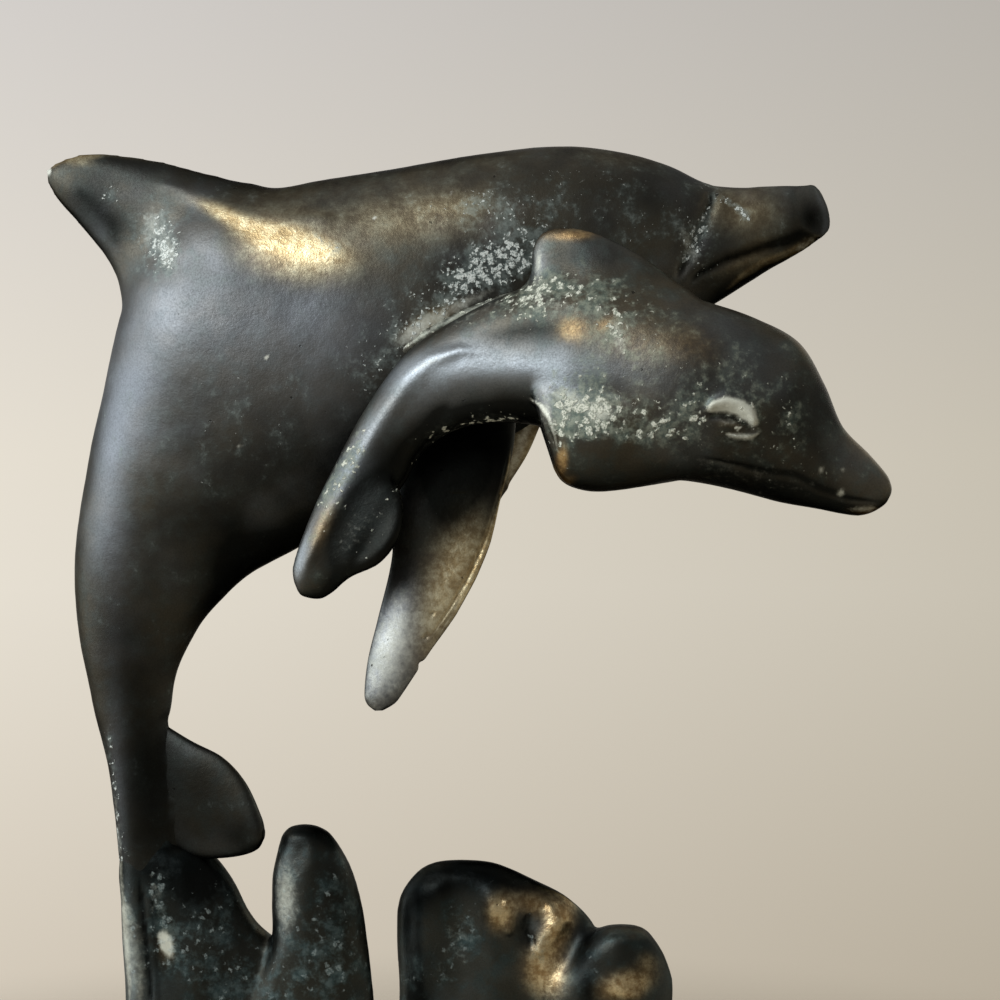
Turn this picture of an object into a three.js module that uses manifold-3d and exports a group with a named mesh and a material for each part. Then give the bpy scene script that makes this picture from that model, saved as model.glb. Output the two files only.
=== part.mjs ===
// Two leaping dolphins over cast waves: an ornament brazed and screwed together from brass castings.
// Millimetres, +Z up. The origin is the centre of the flat underside of the base.
// +X is the way both dolphins leap, and the smaller one swims on the -Y side of the larger.
import * as THREE from 'three';
import { mergeVertices } from 'three/addons/utils/BufferGeometryUtils.js';
import Module from 'manifold-3d';

const wasm = await Module();
wasm.setup();

// Driving dimensions.
const clearance = 0.3; // gap between two castings that meet
const finSpread = 0.24; // radians of a body's section that the root of its dorsal fin covers
const finCrowding = 0.62; // draws the points of a section together under the fin
const baseHalfLength = 79;
const baseHalfDepth = 46;
const baseRimHeight = 7;
const baseSwell = 13; // rise from the rim to the middle of the base
const rippleHeight = 1.6;
const rippleCount = 5; // crests round the base
const sideCrestX = 18; // middle of the wave beside the dolphins
const sideCrestY = 19;
const sideCrestTop = 89.5;
const sideShoulderTop = 74;
const fingerTop = 102; // tongue of water beside the tail
const crestTopHalf = 6.5; // half thickness of the waves at the top, and at the base
const crestRootHalf = 11;
const tailRootX = -61;
const tailRootZ = 94; // top of the wave that carries the larger dolphin
const spigotRadius = 3.2; // cast spigots of the larger dolphin
const spigotLength = 11;
const finPinRadius = 1.7; // pins cast on the roots of the pectoral fins
const smallSpigotRadius = 1.9; // spigot in the smaller dolphin's tail
const smallSpigotLength = 6;
const dowelRadius = 2.4; // dowel that holds the smaller dolphin to the larger
const dowelLength = 17;
const beadRadius = 2.3; // brazing along the back of the smaller dolphin
const screwRadius = 2.5;
const screwReach = 16; // depth of each screw in its wave
const screwHeadRadius = 4.6;
const screwHeadHeight = 3;
const screwHeadRecess = 1; // depth of the head above the resting face

// Colours of the patina, from the dark flanks to the rubbed brass.
const darkPatina = { color: 0x3d3f3c, roughness: 0.42, metalness: 0.85 };
const brownPatina = { color: 0x554c3d, roughness: 0.4, metalness: 0.85 };
const waveGreen = { color: 0x353b39, roughness: 0.55, metalness: 0.75 };
const plainBrass = { color: 0xb08d4c, roughness: 0.35, metalness: 1 };

// Outlines. Each row is one section: back x, back z, belly x, belly z, half width, sideways place.
// x and z are measured from the tail root, and the rows run from the beak to the tail.
const adultSections = [
  [160.8, 161.3, 162, 149.8, 4.6, -7],
  [150, 161.5, 151.2, 144.2, 6.5, -5],
  [134.9, 161.5, 137.3, 134.6, 9.5, -3],
  [123.6, 166.8, 127.2, 127.9, 13.5, -1.5],
  [110.4, 170.4, 115.2, 119.8, 16.5, -0.5],
  [94.8, 171.1, 99.6, 109.9, 18.5, 0],
  [74.4, 168.5, 81.6, 100.8, 20, 0],
  [54, 165.1, 63.6, 90.7, 20.5, 0],
  [33.6, 161.8, 48, 81.6, 20.5, 0],
  [13.2, 157.9, 39.6, 77, 20, 0],
  [-0.5, 147.6, 34, 73.8, 19, 0],
  [-7.2, 132, 29, 71.2, 17.5, 0],
  [-12, 111.6, 23.1, 67.8, 15.5, 0],
  [-15.8, 93.6, 17.7, 62.8, 13, 0],
  [-18, 73.2, 12.4, 55.9, 11, 0],
  [-17, 54, 7.7, 45.8, 8.5, 0],
  [-13.9, 37.2, 5.3, 35.2, 7, 0],
  [-10.3, 20.4, 4.8, 20.4, 6.5, 0],
  [-7.7, 0, 7.2, 0, 6.5, 0],
];
const adultTailSection = 16; // row where the body casting ends and the tail casting starts

const calfSections = [
  [170.2, 90, 169.6, 85.1, 3, -41],
  [164.9, 97.6, 162.2, 83.5, 5.5, -40.5],
  [159.5, 102.7, 153.7, 85.1, 7.5, -40],
  [155.5, 112.1, 145.7, 86.6, 11, -39],
  [149.9, 121.5, 136.5, 88.9, 14, -38],
  [139.9, 127.5, 125.3, 91.1, 15.5, -37],
  [128.7, 131.1, 115.3, 93.5, 16, -36],
  [115.3, 134.4, 104.1, 97.6, 15, -34],
  [101.9, 136.4, 95.8, 101.6, 13.5, -32],
  [88.5, 133.8, 88.5, 103.4, 11.5, -29.5],
  [73.9, 127.1, 77.3, 102.9, 9.5, -27.5],
  [62.6, 119.5, 69.9, 99.8, 8, -26.5],
  [53, 106.3, 65.5, 95.8, 6.5, -27],
  [46.8, 94.9, 62.1, 89.5, 5.5, -28],
  [41.8, 83.1, 55, 79.4, 4.5, -29.5],
  [38.2, 70.9, 49.5, 67, 3.2, -31],
  [39.5, 64.8, 47.5, 63, 2, -31],
];
const calfTailSection = 13;

// Dorsal fins: x and z of the outline from the front of the root round the tip to the back.
// from and to are the rows of the body between which the fin grows out.
const adultDorsal = {
  from: 8.3,
  to: 11,
  outline: [
    [26.9, 161.6], [13.2, 164.4], [1.2, 167.5], [-13.2, 169.2], [-21.1, 167.8], [-26, 164.8],
    [-22.1, 159.1], [-18, 154.3], [-11.3, 146.4], [-7.7, 139.2], [-7.2, 132],
  ],
};
const calfDorsal = {
  from: 6,
  to: 9,
  outline: [
    [128.7, 131.1], [120.9, 137.3], [113, 142.3], [104.1, 146.3], [97.4, 147.2], [92.9, 145.8],
    [90.9, 141.8], [90.7, 137.3], [88.5, 133.8],
  ],
};

// Pectoral fins: front edge x, z, rear edge x, z, half thickness, sideways place.
const adultFinSections = [
  [87.9, 110, 73.7, 111, 3.2, -9],
  [86.8, 97.9, 63.5, 97.9, 3, -15],
  [84, 86.4, 60.8, 86.4, 2.7, -18.5],
  [80.1, 72.6, 58.9, 72.6, 2.4, -21.5],
  [73.7, 60, 55.9, 58.8, 2.1, -24],
  [66.8, 50.1, 53.9, 49.6, 1.9, -26],
  [61.5, 42.2, 53.2, 42.2, 1.6, -27.5],
  [57.8, 39, 55, 39, 1, -28],
];
const calfFinSections = [
  [120.6, 106, 121.5, 95, 2.6, -40],
  [113.4, 104.9, 114.5, 89.5, 3, -46.5],
  [105.8, 102.8, 107.5, 88.4, 2.9, -48.5],
  [99.7, 99.5, 101.4, 88.4, 2.5, -48.5],
  [96.6, 96.2, 97.5, 90.3, 2, -48],
  [95.8, 94.5, 96.2, 92.5, 1.2, -47.5],
];
// The larger dolphin's far fin: how much further forward each of its rows lies.
const farFinForward = [8, 4, 0, -1.5, -1.5, -1.5, -1.5, -1.5];
const calfFinPlane = -35; // the smaller dolphin's fins mirror each other in this plane
// Pins on the fin roots reach this far inwards from the root.
const adultPinReach = [2, 9, 12];
const calfPinReach = [5, 7, 4];

// Flukes: distance from the stock, upper edge z, distance, lower edge z, half thickness, sideways.
const adultFlukeSections = [
  [-3, 36.5, -3, 2, 2.8, 0],
  [9.6, 31, 9.6, 0.6, 2.7, 0],
  [18.5, 26, 17.5, 0.8, 2.4, 0],
  [24.3, 19.2, 23.6, 1.8, 2.1, 0],
  [28, 11.6, 27.4, 3.4, 1.7, 0],
  [29, 8.2, 28.8, 5.6, 1, 0],
];
const calfFlukeSections = [
  [-3, 29, -3, -4, 2.7, 0],
  [3, 30, 2.5, -4, 2.7, 0],
  [7.5, 28.5, 7, -1.8, 2.4, 0],
  [10.5, 22, 10, 1.8, 2.1, 0],
  [13, 16.5, 12.7, 6, 1.7, 0],
  [14, 13.6, 13.8, 10, 1, 0],
];
const adultFlukeTurns = [-16, 112]; // degrees from +X of the near and the far lobe
const calfFlukeTurns = [-26, 100];
const calfFlukeLean = 27; // degrees that the smaller dolphin's stock leans forward
const calfTailFoot = [43, -31, 68];

// Dowel across the seat of the smaller dolphin, and points of the brazing along its back.
const dowelPlace = [88, -19, 118];
const beadLine = [[60, -19.5, 120], [70, -20.5, 126.5], [81, -20.5, 131.5], [92, -20, 135]];

// Waves: left x and right x from the wave's own middle, and height between the base and the crest
// from 1 at the top to 0 at the foot. The tail wave is measured from the tail root.
const tailWave = [
  [-8, 16, 1], [-8, 20, 0.93], [-7.3, 24.2, 0.84], [-6.2, 28.5, 0.79], [-6, 34, 0.75], [-5.5, 42, 0.68],
  [-5, 47, 0.55], [-5.5, 51, 0.36], [-9, 56, 0.15], [-13, 60, 0],
];
const fingerWave = [
  [34.5, 40.5, 1], [32.4, 44.8, 0.975], [31, 48.6, 0.9], [30.8, 51, 0.8], [29.5, 52.3, 0.7],
  [23, 54.2, 0.55], [17, 56.2, 0.35], [14, 61, 0.14], [13, 65, 0],
];
const sideWave = [
  [-8.5, 0, 1], [-13.8, 5, 0.98], [-17, 11, 0.94], [-19.8, 20.5, 0.88], [-20.6, 29, 0.78],
  [-20.3, 33, 0.57], [-21.6, 33, 0.34], [-24, 32, 0.15], [-28, 32, 0],
];
const shoulderWave = [
  [31.5, 39.5, 1], [27.5, 42.6, 0.95], [22, 45.6, 0.86], [16, 47, 0.76], [12, 45.6, 0.62],
  [9, 42.6, 0.45], [7, 41.4, 0.24], [5, 43, 0],
];
const fingerY = -4; // the tongues that stand beside each wave are set off towards the viewer
const shoulderY = 13;
const waveFoot = 8; // the waves reach down to here, and the base cuts them off where they meet it
const tailScrews = [-1, 46];
const sideScrews = [-13, 32];

// Smooth curve through rows, read by row number.
function alongRows(rows, pick) {
  const curve = new THREE.CatmullRomCurve3(
    rows.map((row) => new THREE.Vector3(...pick(row))), false, 'centripetal');
  return (row) => curve.getPoint(THREE.MathUtils.clamp(row / (rows.length - 1), 0, 1));
}

// Closed loft over the rows from..to. Each section is an ellipse between its back and belly points.
// A dorsal fin is drawn out of the back: its outline's offset fades with the angle from the back.
function loft(rows, { from = 0, to = rows.length - 1, steps = 3, sides = 14, grow = 0, fin = null }) {
  const back = alongRows(rows, (r) => [r[0], r[5], r[1]]);
  const belly = alongRows(rows, (r) => [r[2], r[5], r[3]]);
  const width = alongRows(rows, (r) => [r[4], 0, 0]);
  const finLine = fin && alongRows(fin.outline, (p) => [p[0], 0, p[1]]);
  const crowding = fin ? finCrowding : 0;
  const rings = Math.round((to - from) * steps);
  const points = [];
  for (let i = 0; i <= rings; i++) {
    const row = from + ((to - from) * i) / rings;
    const top = back(row);
    const bottom = belly(row);
    const centre = top.clone().add(bottom).multiplyScalar(0.5);
    const up = top.clone().sub(bottom).multiplyScalar(0.5);
    up.setLength(up.length() + grow);
    const half = width(row).x + grow;
    const inFin = fin && row > fin.from && row < fin.to;
    const share = inFin ? (row - fin.from) / (fin.to - fin.from) : 0;
    const drawn = inFin ? finLine(share * (fin.outline.length - 1)).setY(top.y).sub(top) : null;
    for (let j = 0; j < sides; j++) {
      const even = (2 * Math.PI * j) / sides;
      const angle = even - crowding * Math.sin(even);
      const p = centre.clone().addScaledVector(up, Math.cos(angle));
      p.y += half * Math.sin(angle);
      if (drawn) {
        const off = Math.min(angle, 2 * Math.PI - angle);
        p.addScaledVector(drawn, Math.exp(-((off / finSpread) ** 2)));
      }
      points.push(p);
    }
    if (i === 0 || i === rings) points.push(centre);
  }
  return ringMesh(points, rings, sides);
}

// Faces over rings of points: the first and the last ring are followed by their centre point.
function ringMesh(points, rings, sides) {
  const start = (i) => i * sides + (i > 0 ? 1 : 0);
  const index = [];
  for (let j = 0; j < sides; j++) {
    const next = (j + 1) % sides;
    index.push(sides, next, j);
    index.push(start(rings) + j, start(rings) + next, start(rings) + sides);
    for (let i = 0; i < rings; i++) {
      const [a, b, c, d] = [start(i) + j, start(i) + next, start(i + 1) + j, start(i + 1) + next];
      index.push(a, b, c, b, d, c);
    }
  }
  const geometry = new THREE.BufferGeometry();
  const places = points.flatMap((p) => [p.x, p.y, p.z]);
  geometry.setAttribute('position', new THREE.Float32BufferAttribute(places, 3));
  geometry.setIndex(index);
  return geometry;
}

// Round bar between two points.
function rod(start, end, radius, sides = 16) {
  const along = end.clone().sub(start);
  const geometry = new THREE.CylinderGeometry(radius, radius, along.length(), sides);
  const axis = along.clone().normalize();
  geometry.applyQuaternion(new THREE.Quaternion().setFromUnitVectors(new THREE.Vector3(0, 1, 0), axis));
  const middle = start.clone().add(end).multiplyScalar(0.5);
  return geometry.translate(middle.x, middle.y, middle.z);
}

// Solids: a closed mesh in, a closed mesh out.
function solid(geometry) {
  const bare = geometry.clone();
  for (const name of Object.keys(bare.attributes)) {
    if (name !== 'position') bare.deleteAttribute(name);
  }
  const merged = mergeVertices(bare, 1e-4);
  const made = new wasm.Manifold(new wasm.Mesh({
    numProp: 3,
    vertProperties: new Float32Array(merged.attributes.position.array),
    triVerts: new Uint32Array(merged.index.array),
  }));
  return made.volume() < 0 ? new wasm.Manifold(flipped(merged)) : made;
}

function flipped(merged) {
  const index = Uint32Array.from(merged.index.array);
  for (let i = 0; i < index.length; i += 3) [index[i], index[i + 1]] = [index[i + 1], index[i]];
  const vertProperties = new Float32Array(merged.attributes.position.array);
  return new wasm.Mesh({ numProp: 3, vertProperties, triVerts: index });
}

function geometryOf(made) {
  const mesh = made.getMesh();
  const geometry = new THREE.BufferGeometry();
  geometry.setAttribute('position', new THREE.BufferAttribute(new Float32Array(mesh.vertProperties), 3));
  geometry.setIndex(new THREE.BufferAttribute(new Uint32Array(mesh.triVerts), 1));
  return geometry;
}

const group = new THREE.Group();

function addNode(name, made, look) {
  const mesh = new THREE.Mesh(geometryOf(made), new THREE.MeshStandardMaterial(look));
  mesh.name = name;
  group.add(mesh);
}

// Places in the dolphins' own measure are moved to the tail root.
const place = new THREE.Vector3(tailRootX, 0, tailRootZ);
const dolphin = (geometry) => solid(geometry.translate(place.x, place.y, place.z));
const at = (x, y, z) => new THREE.Vector3(x, y, z);

function middleOf(rows, row) {
  const middle = alongRows(rows, (r) => [(r[0] + r[2]) / 2, r[5], (r[1] + r[3]) / 2]);
  return middle(row);
}

function spigot(rows, row, length, radius, grow = 0) {
  const start = middleOf(rows, row - 0.4);
  const end = middleOf(rows, row + 0.4);
  const seat = middleOf(rows, row);
  const along = end.clone().sub(start).normalize();
  const foot = seat.clone().addScaledVector(along, -3 - grow);
  return rod(foot, seat.clone().addScaledVector(along, length + grow), radius + grow);
}

function rowGap(rows, row) {
  return clearance / middleOf(rows, row).distanceTo(middleOf(rows, row + 1));
}

// The larger dolphin: body, tail and two pectoral fins.
const adultSides = 28;
const adultShape = (grow, from, to) =>
  dolphin(loft(adultSections, { from, to, grow, fin: adultDorsal, sides: adultSides }));
const adultBodyWhole = adultShape(0, 0, adultTailSection);
const adultGrown = adultShape(clearance, 0, adultTailSection);

const mirrorFin = (rows, plane, forward = []) => rows.map(([a, b, c, d, thick, y], i) => {
  const shift = forward[i] ?? 0;
  return [a + shift, b, c + shift, d, thick, 2 * plane - y];
});

// Fin with its pin, and the hole for the pin. side is 1 on the near side and -1 on the far side.
function pectoral(rows, bodyGrown, [reachX, reachY, reachZ], side) {
  const outer = middleOf(rows, 1.6);
  const tip = middleOf(rows, 1).add(at(reachX, reachY * side, reachZ));
  const past = tip.clone().addScaledVector(tip.clone().sub(outer).normalize(), clearance);
  const blade = dolphin(loft(rows, { steps: 3, sides: 12 })).subtract(bodyGrown);
  return {
    piece: blade.add(dolphin(rod(outer, tip, finPinRadius, 10))),
    socket: dolphin(rod(outer, past, finPinRadius + clearance, 10)),
  };
}

const nearFin = pectoral(adultFinSections, adultGrown, adultPinReach, 1);
const farRows = mirrorFin(adultFinSections, 0, farFinForward);
const farFin = pectoral(farRows, adultGrown, adultPinReach, -1);

// Lobes of the flukes turn about the stock, which leans forward by some degrees.
function fluke(rows, turn, lean, foot) {
  const lobe = loft(rows, { steps: 3, sides: 12 });
  lobe.rotateZ(THREE.MathUtils.degToRad(turn));
  lobe.rotateY(THREE.MathUtils.degToRad(lean));
  return dolphin(lobe.translate(foot.x, foot.y, foot.z));
}

const tailStart = adultTailSection + rowGap(adultSections, adultTailSection);
let adultTail = dolphin(loft(adultSections, { from: tailStart, steps: 4, sides: 18 }));
for (const turn of adultFlukeTurns) {
  adultTail = adultTail.add(fluke(adultFlukeSections, turn, 0, at(0, 0, 0)));
}
const [trimWidth, trimDepth] = [80, 40]; // block that trims the tail casting level with its wave
const trim = new THREE.BoxGeometry(trimWidth, trimWidth, trimDepth);
trim.translate(tailRootX, 0, tailRootZ - trimDepth / 2 + clearance);
adultTail = adultTail.subtract(solid(trim)).subtract(adultGrown);
const footStart = place.clone().add(at(0, 0, 6));
const footEnd = place.clone().add(at(0, 0, -spigotLength));
const footHole = place.clone().add(at(0, 0, -spigotLength - clearance));
adultTail = adultTail.add(solid(rod(footStart, footEnd, spigotRadius)));
const bodySpigot = dolphin(spigot(adultSections, adultTailSection, spigotLength, spigotRadius));
const bodySocket = dolphin(spigot(adultSections, adultTailSection, spigotLength, spigotRadius, clearance));
adultTail = adultTail.subtract(bodySocket);

// The smaller dolphin.
const calfShape = (grow, from, to) =>
  dolphin(loft(calfSections, { from, to, grow, fin: calfDorsal, sides: 26 }));
const calfBody = calfShape(0, 0, calfTailSection).subtract(adultGrown);
const calfGrown = calfShape(clearance, 0, calfTailSection);
const calfNearFin = pectoral(calfFinSections, calfGrown, calfPinReach, 1);
const calfFarFin = pectoral(mirrorFin(calfFinSections, calfFinPlane), calfGrown, calfPinReach, -1);

const calfTailStart = calfTailSection + rowGap(calfSections, calfTailSection);
let calfTail = dolphin(loft(calfSections, { from: calfTailStart, steps: 4, sides: 14 }));
for (const turn of calfFlukeTurns) {
  calfTail = calfTail.add(fluke(calfFlukeSections, turn, calfFlukeLean, at(...calfTailFoot)));
}
calfTail = calfTail.subtract(calfGrown).subtract(adultGrown);
const calfPeg = (grow) =>
  dolphin(spigot(calfSections, calfTailSection, smallSpigotLength, smallSpigotRadius, grow));
const calfSpigot = calfPeg(0);
const calfSocket = calfPeg(clearance);
calfTail = calfTail.subtract(calfSocket);

// Dowel and its hole, and the brazing.
const dowelRod = (grow) => {
  const half = at(0, dowelLength / 2 + grow, 0);
  return dolphin(rod(at(...dowelPlace).sub(half), at(...dowelPlace).add(half), dowelRadius + grow));
};
const dowel = dowelRod(0);
const dowelHole = dowelRod(clearance);

const beadPath = new THREE.CatmullRomCurve3(beadLine.map((p) => at(...p)));
const beadRound = new THREE.Shape().absarc(0, 0, beadRadius, 0, 2 * Math.PI);
const beadSteps = { steps: 18, curveSegments: 12, extrudePath: beadPath };
const beadTube = new THREE.ExtrudeGeometry(beadRound, beadSteps);
const bead = dolphin(beadTube).subtract(adultGrown).subtract(calfGrown);

// Base: an oval casting with a flat underside whose ripples run round it.
function basePlate(grow = 0) {
  const rings = 14;
  const sides = 48;
  const points = [];
  const [long, deep] = [baseHalfLength + grow, baseHalfDepth + grow];
  const profile = [[0.97, -grow], [1, 1 - grow]];
  for (let i = 0; i <= rings - 2; i++) {
    const out = 1 - i / (rings - 1);
    profile.push([out, baseRimHeight + grow + baseSwell * (1 - out * out)]);
  }
  profile.forEach(([out, height], i) => {
    for (let j = 0; j < sides; j++) {
      const angle = (2 * Math.PI * j) / sides;
      const p = at(long * out * Math.cos(angle), deep * out * Math.sin(angle), 0);
      const wave = Math.sin(rippleCount * angle + 9 * out) * rippleHeight * Math.sin(Math.PI * out);
      p.z = height + (i > 1 ? wave : 0);
      points.push(p);
    }
    if (i === 0) points.push(at(0, 0, -grow));
    if (i === profile.length - 1) points.push(at(0, 0, height));
  });
  return solid(ringMesh(points, profile.length - 1, sides));
}

// Wave: tongues of water that swell towards the foot, cut to the ripples of the base.
function tongue(rows, middleX, top, middleY) {
  const sections = rows.map(([left, right, share]) => {
    const z = waveFoot + (top - waveFoot) * share;
    const half = crestTopHalf + (crestRootHalf - crestTopHalf) * (1 - share) ** 2;
    return [middleX + left, z, middleX + right, z, half * Math.min(1, 0.35 + (right - left) / 16), middleY];
  });
  return solid(loft(sections, { steps: 3, sides: 18 }));
}

const tailSpots = tailScrews.map((x) => at(tailRootX + x, 0, 0));
const sideSpots = sideScrews.map((x) => at(sideCrestX + x, sideCrestY, 0));
const screws = [...tailSpots, ...sideSpots];
const screwTop = baseRimHeight + baseSwell + screwReach;
function screw(spot, grow) {
  const low = spot.clone().setZ(grow > 0 ? -1 : screwHeadRecess);
  const shoulder = spot.clone().setZ(screwHeadRecess + screwHeadHeight + grow);
  const shankLow = spot.clone().setZ(screwHeadRecess + 1);
  const shank = rod(shankLow, spot.clone().setZ(screwTop + grow), screwRadius + grow);
  return solid(rod(low, shoulder, screwHeadRadius + grow, 20)).add(solid(shank));
}

const baseGrown = basePlate(clearance);
const finger = tongue(fingerWave, tailRootX, fingerTop, fingerY);
let tailCrest = tongue(tailWave, tailRootX, tailRootZ, 0).add(finger)
  .subtract(baseGrown).subtract(solid(rod(place, footHole, spigotRadius + clearance)));
let sideCrest = tongue(sideWave, sideCrestX, sideCrestTop, sideCrestY)
  .add(tongue(shoulderWave, sideCrestX, sideShoulderTop, shoulderY)).subtract(baseGrown);
let base = basePlate();
for (const spot of screws) {
  const hole = screw(spot, clearance);
  base = base.subtract(hole);
  tailCrest = tailCrest.subtract(hole);
  sideCrest = sideCrest.subtract(hole);
}

addNode('wave_base', base, waveGreen);
addNode('wave_crest_tail', tailCrest, waveGreen);
addNode('wave_crest_side', sideCrest, waveGreen);
addNode('adult_tail_flukes', adultTail, darkPatina);
addNode('adult_body', adultBodyWhole.subtract(nearFin.socket).subtract(farFin.socket).subtract(dowelHole)
  .add(bodySpigot), darkPatina);
addNode('adult_pectoral_fin_near', nearFin.piece, brownPatina);
addNode('adult_pectoral_fin_far', farFin.piece, brownPatina);
addNode('calf_body', calfBody.subtract(calfNearFin.socket).subtract(calfFarFin.socket).subtract(dowelHole)
  .add(calfSpigot), darkPatina);
addNode('calf_tail_flukes', calfTail, darkPatina);
addNode('calf_pectoral_fin_near', calfNearFin.piece, brownPatina);
addNode('calf_pectoral_fin_far', calfFarFin.piece, brownPatina);
addNode('calf_dowel', dowel, plainBrass);
addNode('calf_braze_bead', bead, plainBrass);
screws.forEach((spot, i) => addNode(`base_screw_${i + 1}`, screw(spot, 0), plainBrass));

export default group;
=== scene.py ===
# Two leaping dolphins over cast waves: dark patinated brass, rubbed to gold and crusted with verdigris.
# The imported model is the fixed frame, and every casting below is worked out in the same place and size.
import math

import bpy
import numpy as np
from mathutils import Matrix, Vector


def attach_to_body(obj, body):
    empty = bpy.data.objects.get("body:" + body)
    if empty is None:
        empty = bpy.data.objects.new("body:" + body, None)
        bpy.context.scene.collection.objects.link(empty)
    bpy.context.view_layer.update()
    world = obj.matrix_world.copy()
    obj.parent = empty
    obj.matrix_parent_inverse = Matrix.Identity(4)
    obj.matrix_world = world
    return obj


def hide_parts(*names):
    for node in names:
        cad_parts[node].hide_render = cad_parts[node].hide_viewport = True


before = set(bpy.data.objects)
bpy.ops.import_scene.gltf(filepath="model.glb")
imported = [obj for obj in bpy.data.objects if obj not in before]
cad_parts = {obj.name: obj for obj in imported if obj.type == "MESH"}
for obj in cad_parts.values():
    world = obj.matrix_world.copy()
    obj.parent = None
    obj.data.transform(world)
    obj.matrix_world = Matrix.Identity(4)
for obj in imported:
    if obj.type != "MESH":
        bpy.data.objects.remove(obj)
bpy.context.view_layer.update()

mm = 0.001  # in metres: the numbers below are in mm
print("frame loaded:", len(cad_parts), "nodes")

# The photograph's view: 1000 x 1000 pixels, level, from the side of the small dolphin
view = {
    "aim": (22.8, 0.0, 180.0),  # mm, seen at the middle of the picture
    "distance": 520.0,  # mm in front of the large dolphin's middle plane
    "width": 240.0,  # mm of that plane across the picture
    "pixels": 1000,
    "sensor": 36.0,  # mm across the camera's sensor
    "nearest": 10.0,  # mm from the camera, where the picture starts
}


# Place in mm of pixels of the photograph, at the depth y: similar triangles from the camera
def fromPhoto(pixels, y):
    pixels = np.asarray(pixels, float)
    scale = view["width"] / view["pixels"] * (view["distance"] + y) / view["distance"]
    middle = view["pixels"] / 2
    x = view["aim"][0] + (pixels[..., 0] - middle) * scale
    z = view["aim"][2] + (middle - pixels[..., 1]) * scale
    return np.stack([x, np.full_like(x, y), z], -1)


# Level camera whose lens takes in the view's width at the view's distance
def makeCamera():
    camData = bpy.data.cameras.new("camera")
    camData.sensor_width = view["sensor"]
    camData.lens = view["sensor"] * view["distance"] / view["width"]
    camData.clip_start = view["nearest"] * mm
    cam = bpy.data.objects.new("camera", camData)
    x, y, z = view["aim"]
    cam.location = (x * mm, (y - view["distance"]) * mm, z * mm)
    cam.rotation_euler = (math.radians(90), 0, 0)
    bpy.context.scene.collection.objects.link(cam)
    bpy.context.scene.camera = cam


makeCamera()
print("camera set")


# Smooth curve through rows, read at row numbers: cubic pieces whose slopes join the rows on each side
def throughRows(rows, where):
    rows = np.asarray(rows, float)
    where = np.clip(np.asarray(where, float), 0, len(rows) - 1)
    low = np.minimum(where.astype(int), len(rows) - 2)
    t = (where - low)[:, None]
    padded = np.vstack([2 * rows[0] - rows[1], rows, 2 * rows[-1] - rows[-2]])
    a, b, c, d = (padded[low + k] for k in range(4))
    square, cube = 2 * a - 5 * b + 4 * c - d, 3 * b - a - 3 * c + d
    return 0.5 * (2 * b + (c - a) * t + square * t**2 + cube * t**3)


# Value noise from -1 to 1: a hash gives each corner of the cells a number, and smooth steps blend them
def latticeNoise(points, size, seed):
    q = points / size + 137.0  # keeps the cells' numbers above 0
    cell = np.floor(q).astype(np.int64)
    f = q - cell
    f = f * f * (3 - 2 * f)
    total = np.zeros(len(points))
    for corner in range(8):
        step = np.array([corner & 1, corner >> 1 & 1, corner >> 2])
        k = cell + step
        # Large primes mix a corner's numbers with the seed, and two rounds stir the bits
        h = k[:, 0] * 73856093 ^ k[:, 1] * 19349663 ^ k[:, 2] * 83492791 ^ seed * 2654435761
        h = h & 0xFFFFFFFF
        h = (h ^ h >> 15) * 2246822519 & 0xFFFFFFFF
        h = (h ^ h >> 13) * 3266489917 & 0xFFFFFFFF
        share = np.where(step, f, 1 - f).prod(1)
        total += share * ((h ^ h >> 16) / 2147483647.5 - 1)
    return total


# Layers of value noise, each half as large and half as strong as the one before
def layeredNoise(points, size, seed, layers):
    return sum(latticeNoise(points, size / 2**k, seed + k) / 2**k for k in range(layers))


# Falls from 1 at no distance towards 0 past the width, as a bell curve
def bell(distance, width):
    return np.exp(-((distance / width) ** 2))


# Smooth step from 0 at start to 1 at end
def ramp(values, start, end):
    t = np.clip((values - start) / (end - start), 0, 1)
    return t * t * (3 - 2 * t)


# Distance in the X-Z plane to a line through points, and how far along it that is, from 0 to 1
def lineDistance(points, line):
    flat = points[:, [0, 2]]
    best = np.full(len(flat), np.inf)
    along = np.zeros(len(flat))
    lengths = np.linalg.norm(np.diff(line, axis=0), axis=1)
    done = np.concatenate([[0], np.cumsum(lengths)])
    for k, length in enumerate(lengths):
        direction = (line[k + 1] - line[k]) / length
        t = np.clip((flat - line[k]) @ direction, 0, length)
        d = np.linalg.norm(flat - line[k] - t[:, None] * direction, axis=1)
        nearer = d < best
        best = np.where(nearer, d, best)
        along = np.where(nearer, (done[k] + t) / done[-1], along)
    return best, along


# A mesh in metres from points in mm, four-sided faces and three-sided faces
def newPiece(name, points, quads, fans):
    mesh = bpy.data.meshes.new(name)
    mesh.from_pydata((points * mm).tolist(), [], quads.tolist() + fans.tolist())
    mesh.update()
    mesh.polygons.foreach_set("use_smooth", [True] * len(mesh.polygons))
    piece = bpy.data.objects.new(name, mesh)
    bpy.context.scene.collection.objects.link(piece)
    return piece


# Quads between closed rings, and a fan from the pole at each end: the poles are the two points that
# come after the rings
def gridFaces(rings, sides):
    i, j = np.meshgrid(np.arange(rings - 1), np.arange(sides), indexing="ij")
    k = (j + 1) % sides
    quads = np.stack([i * sides + j, (i + 1) * sides + j, (i + 1) * sides + k, i * sides + k], -1)
    edge = np.arange(sides)
    after = (edge + 1) % sides
    lastRing = (rings - 1) * sides
    firstFan = np.stack([np.full(sides, rings * sides), edge, after], -1)
    lastFan = np.stack([np.full(sides, rings * sides + 1), after + lastRing, edge + lastRing], -1)
    return quads.reshape(-1, 4), np.vstack([firstFan, lastFan])


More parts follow.
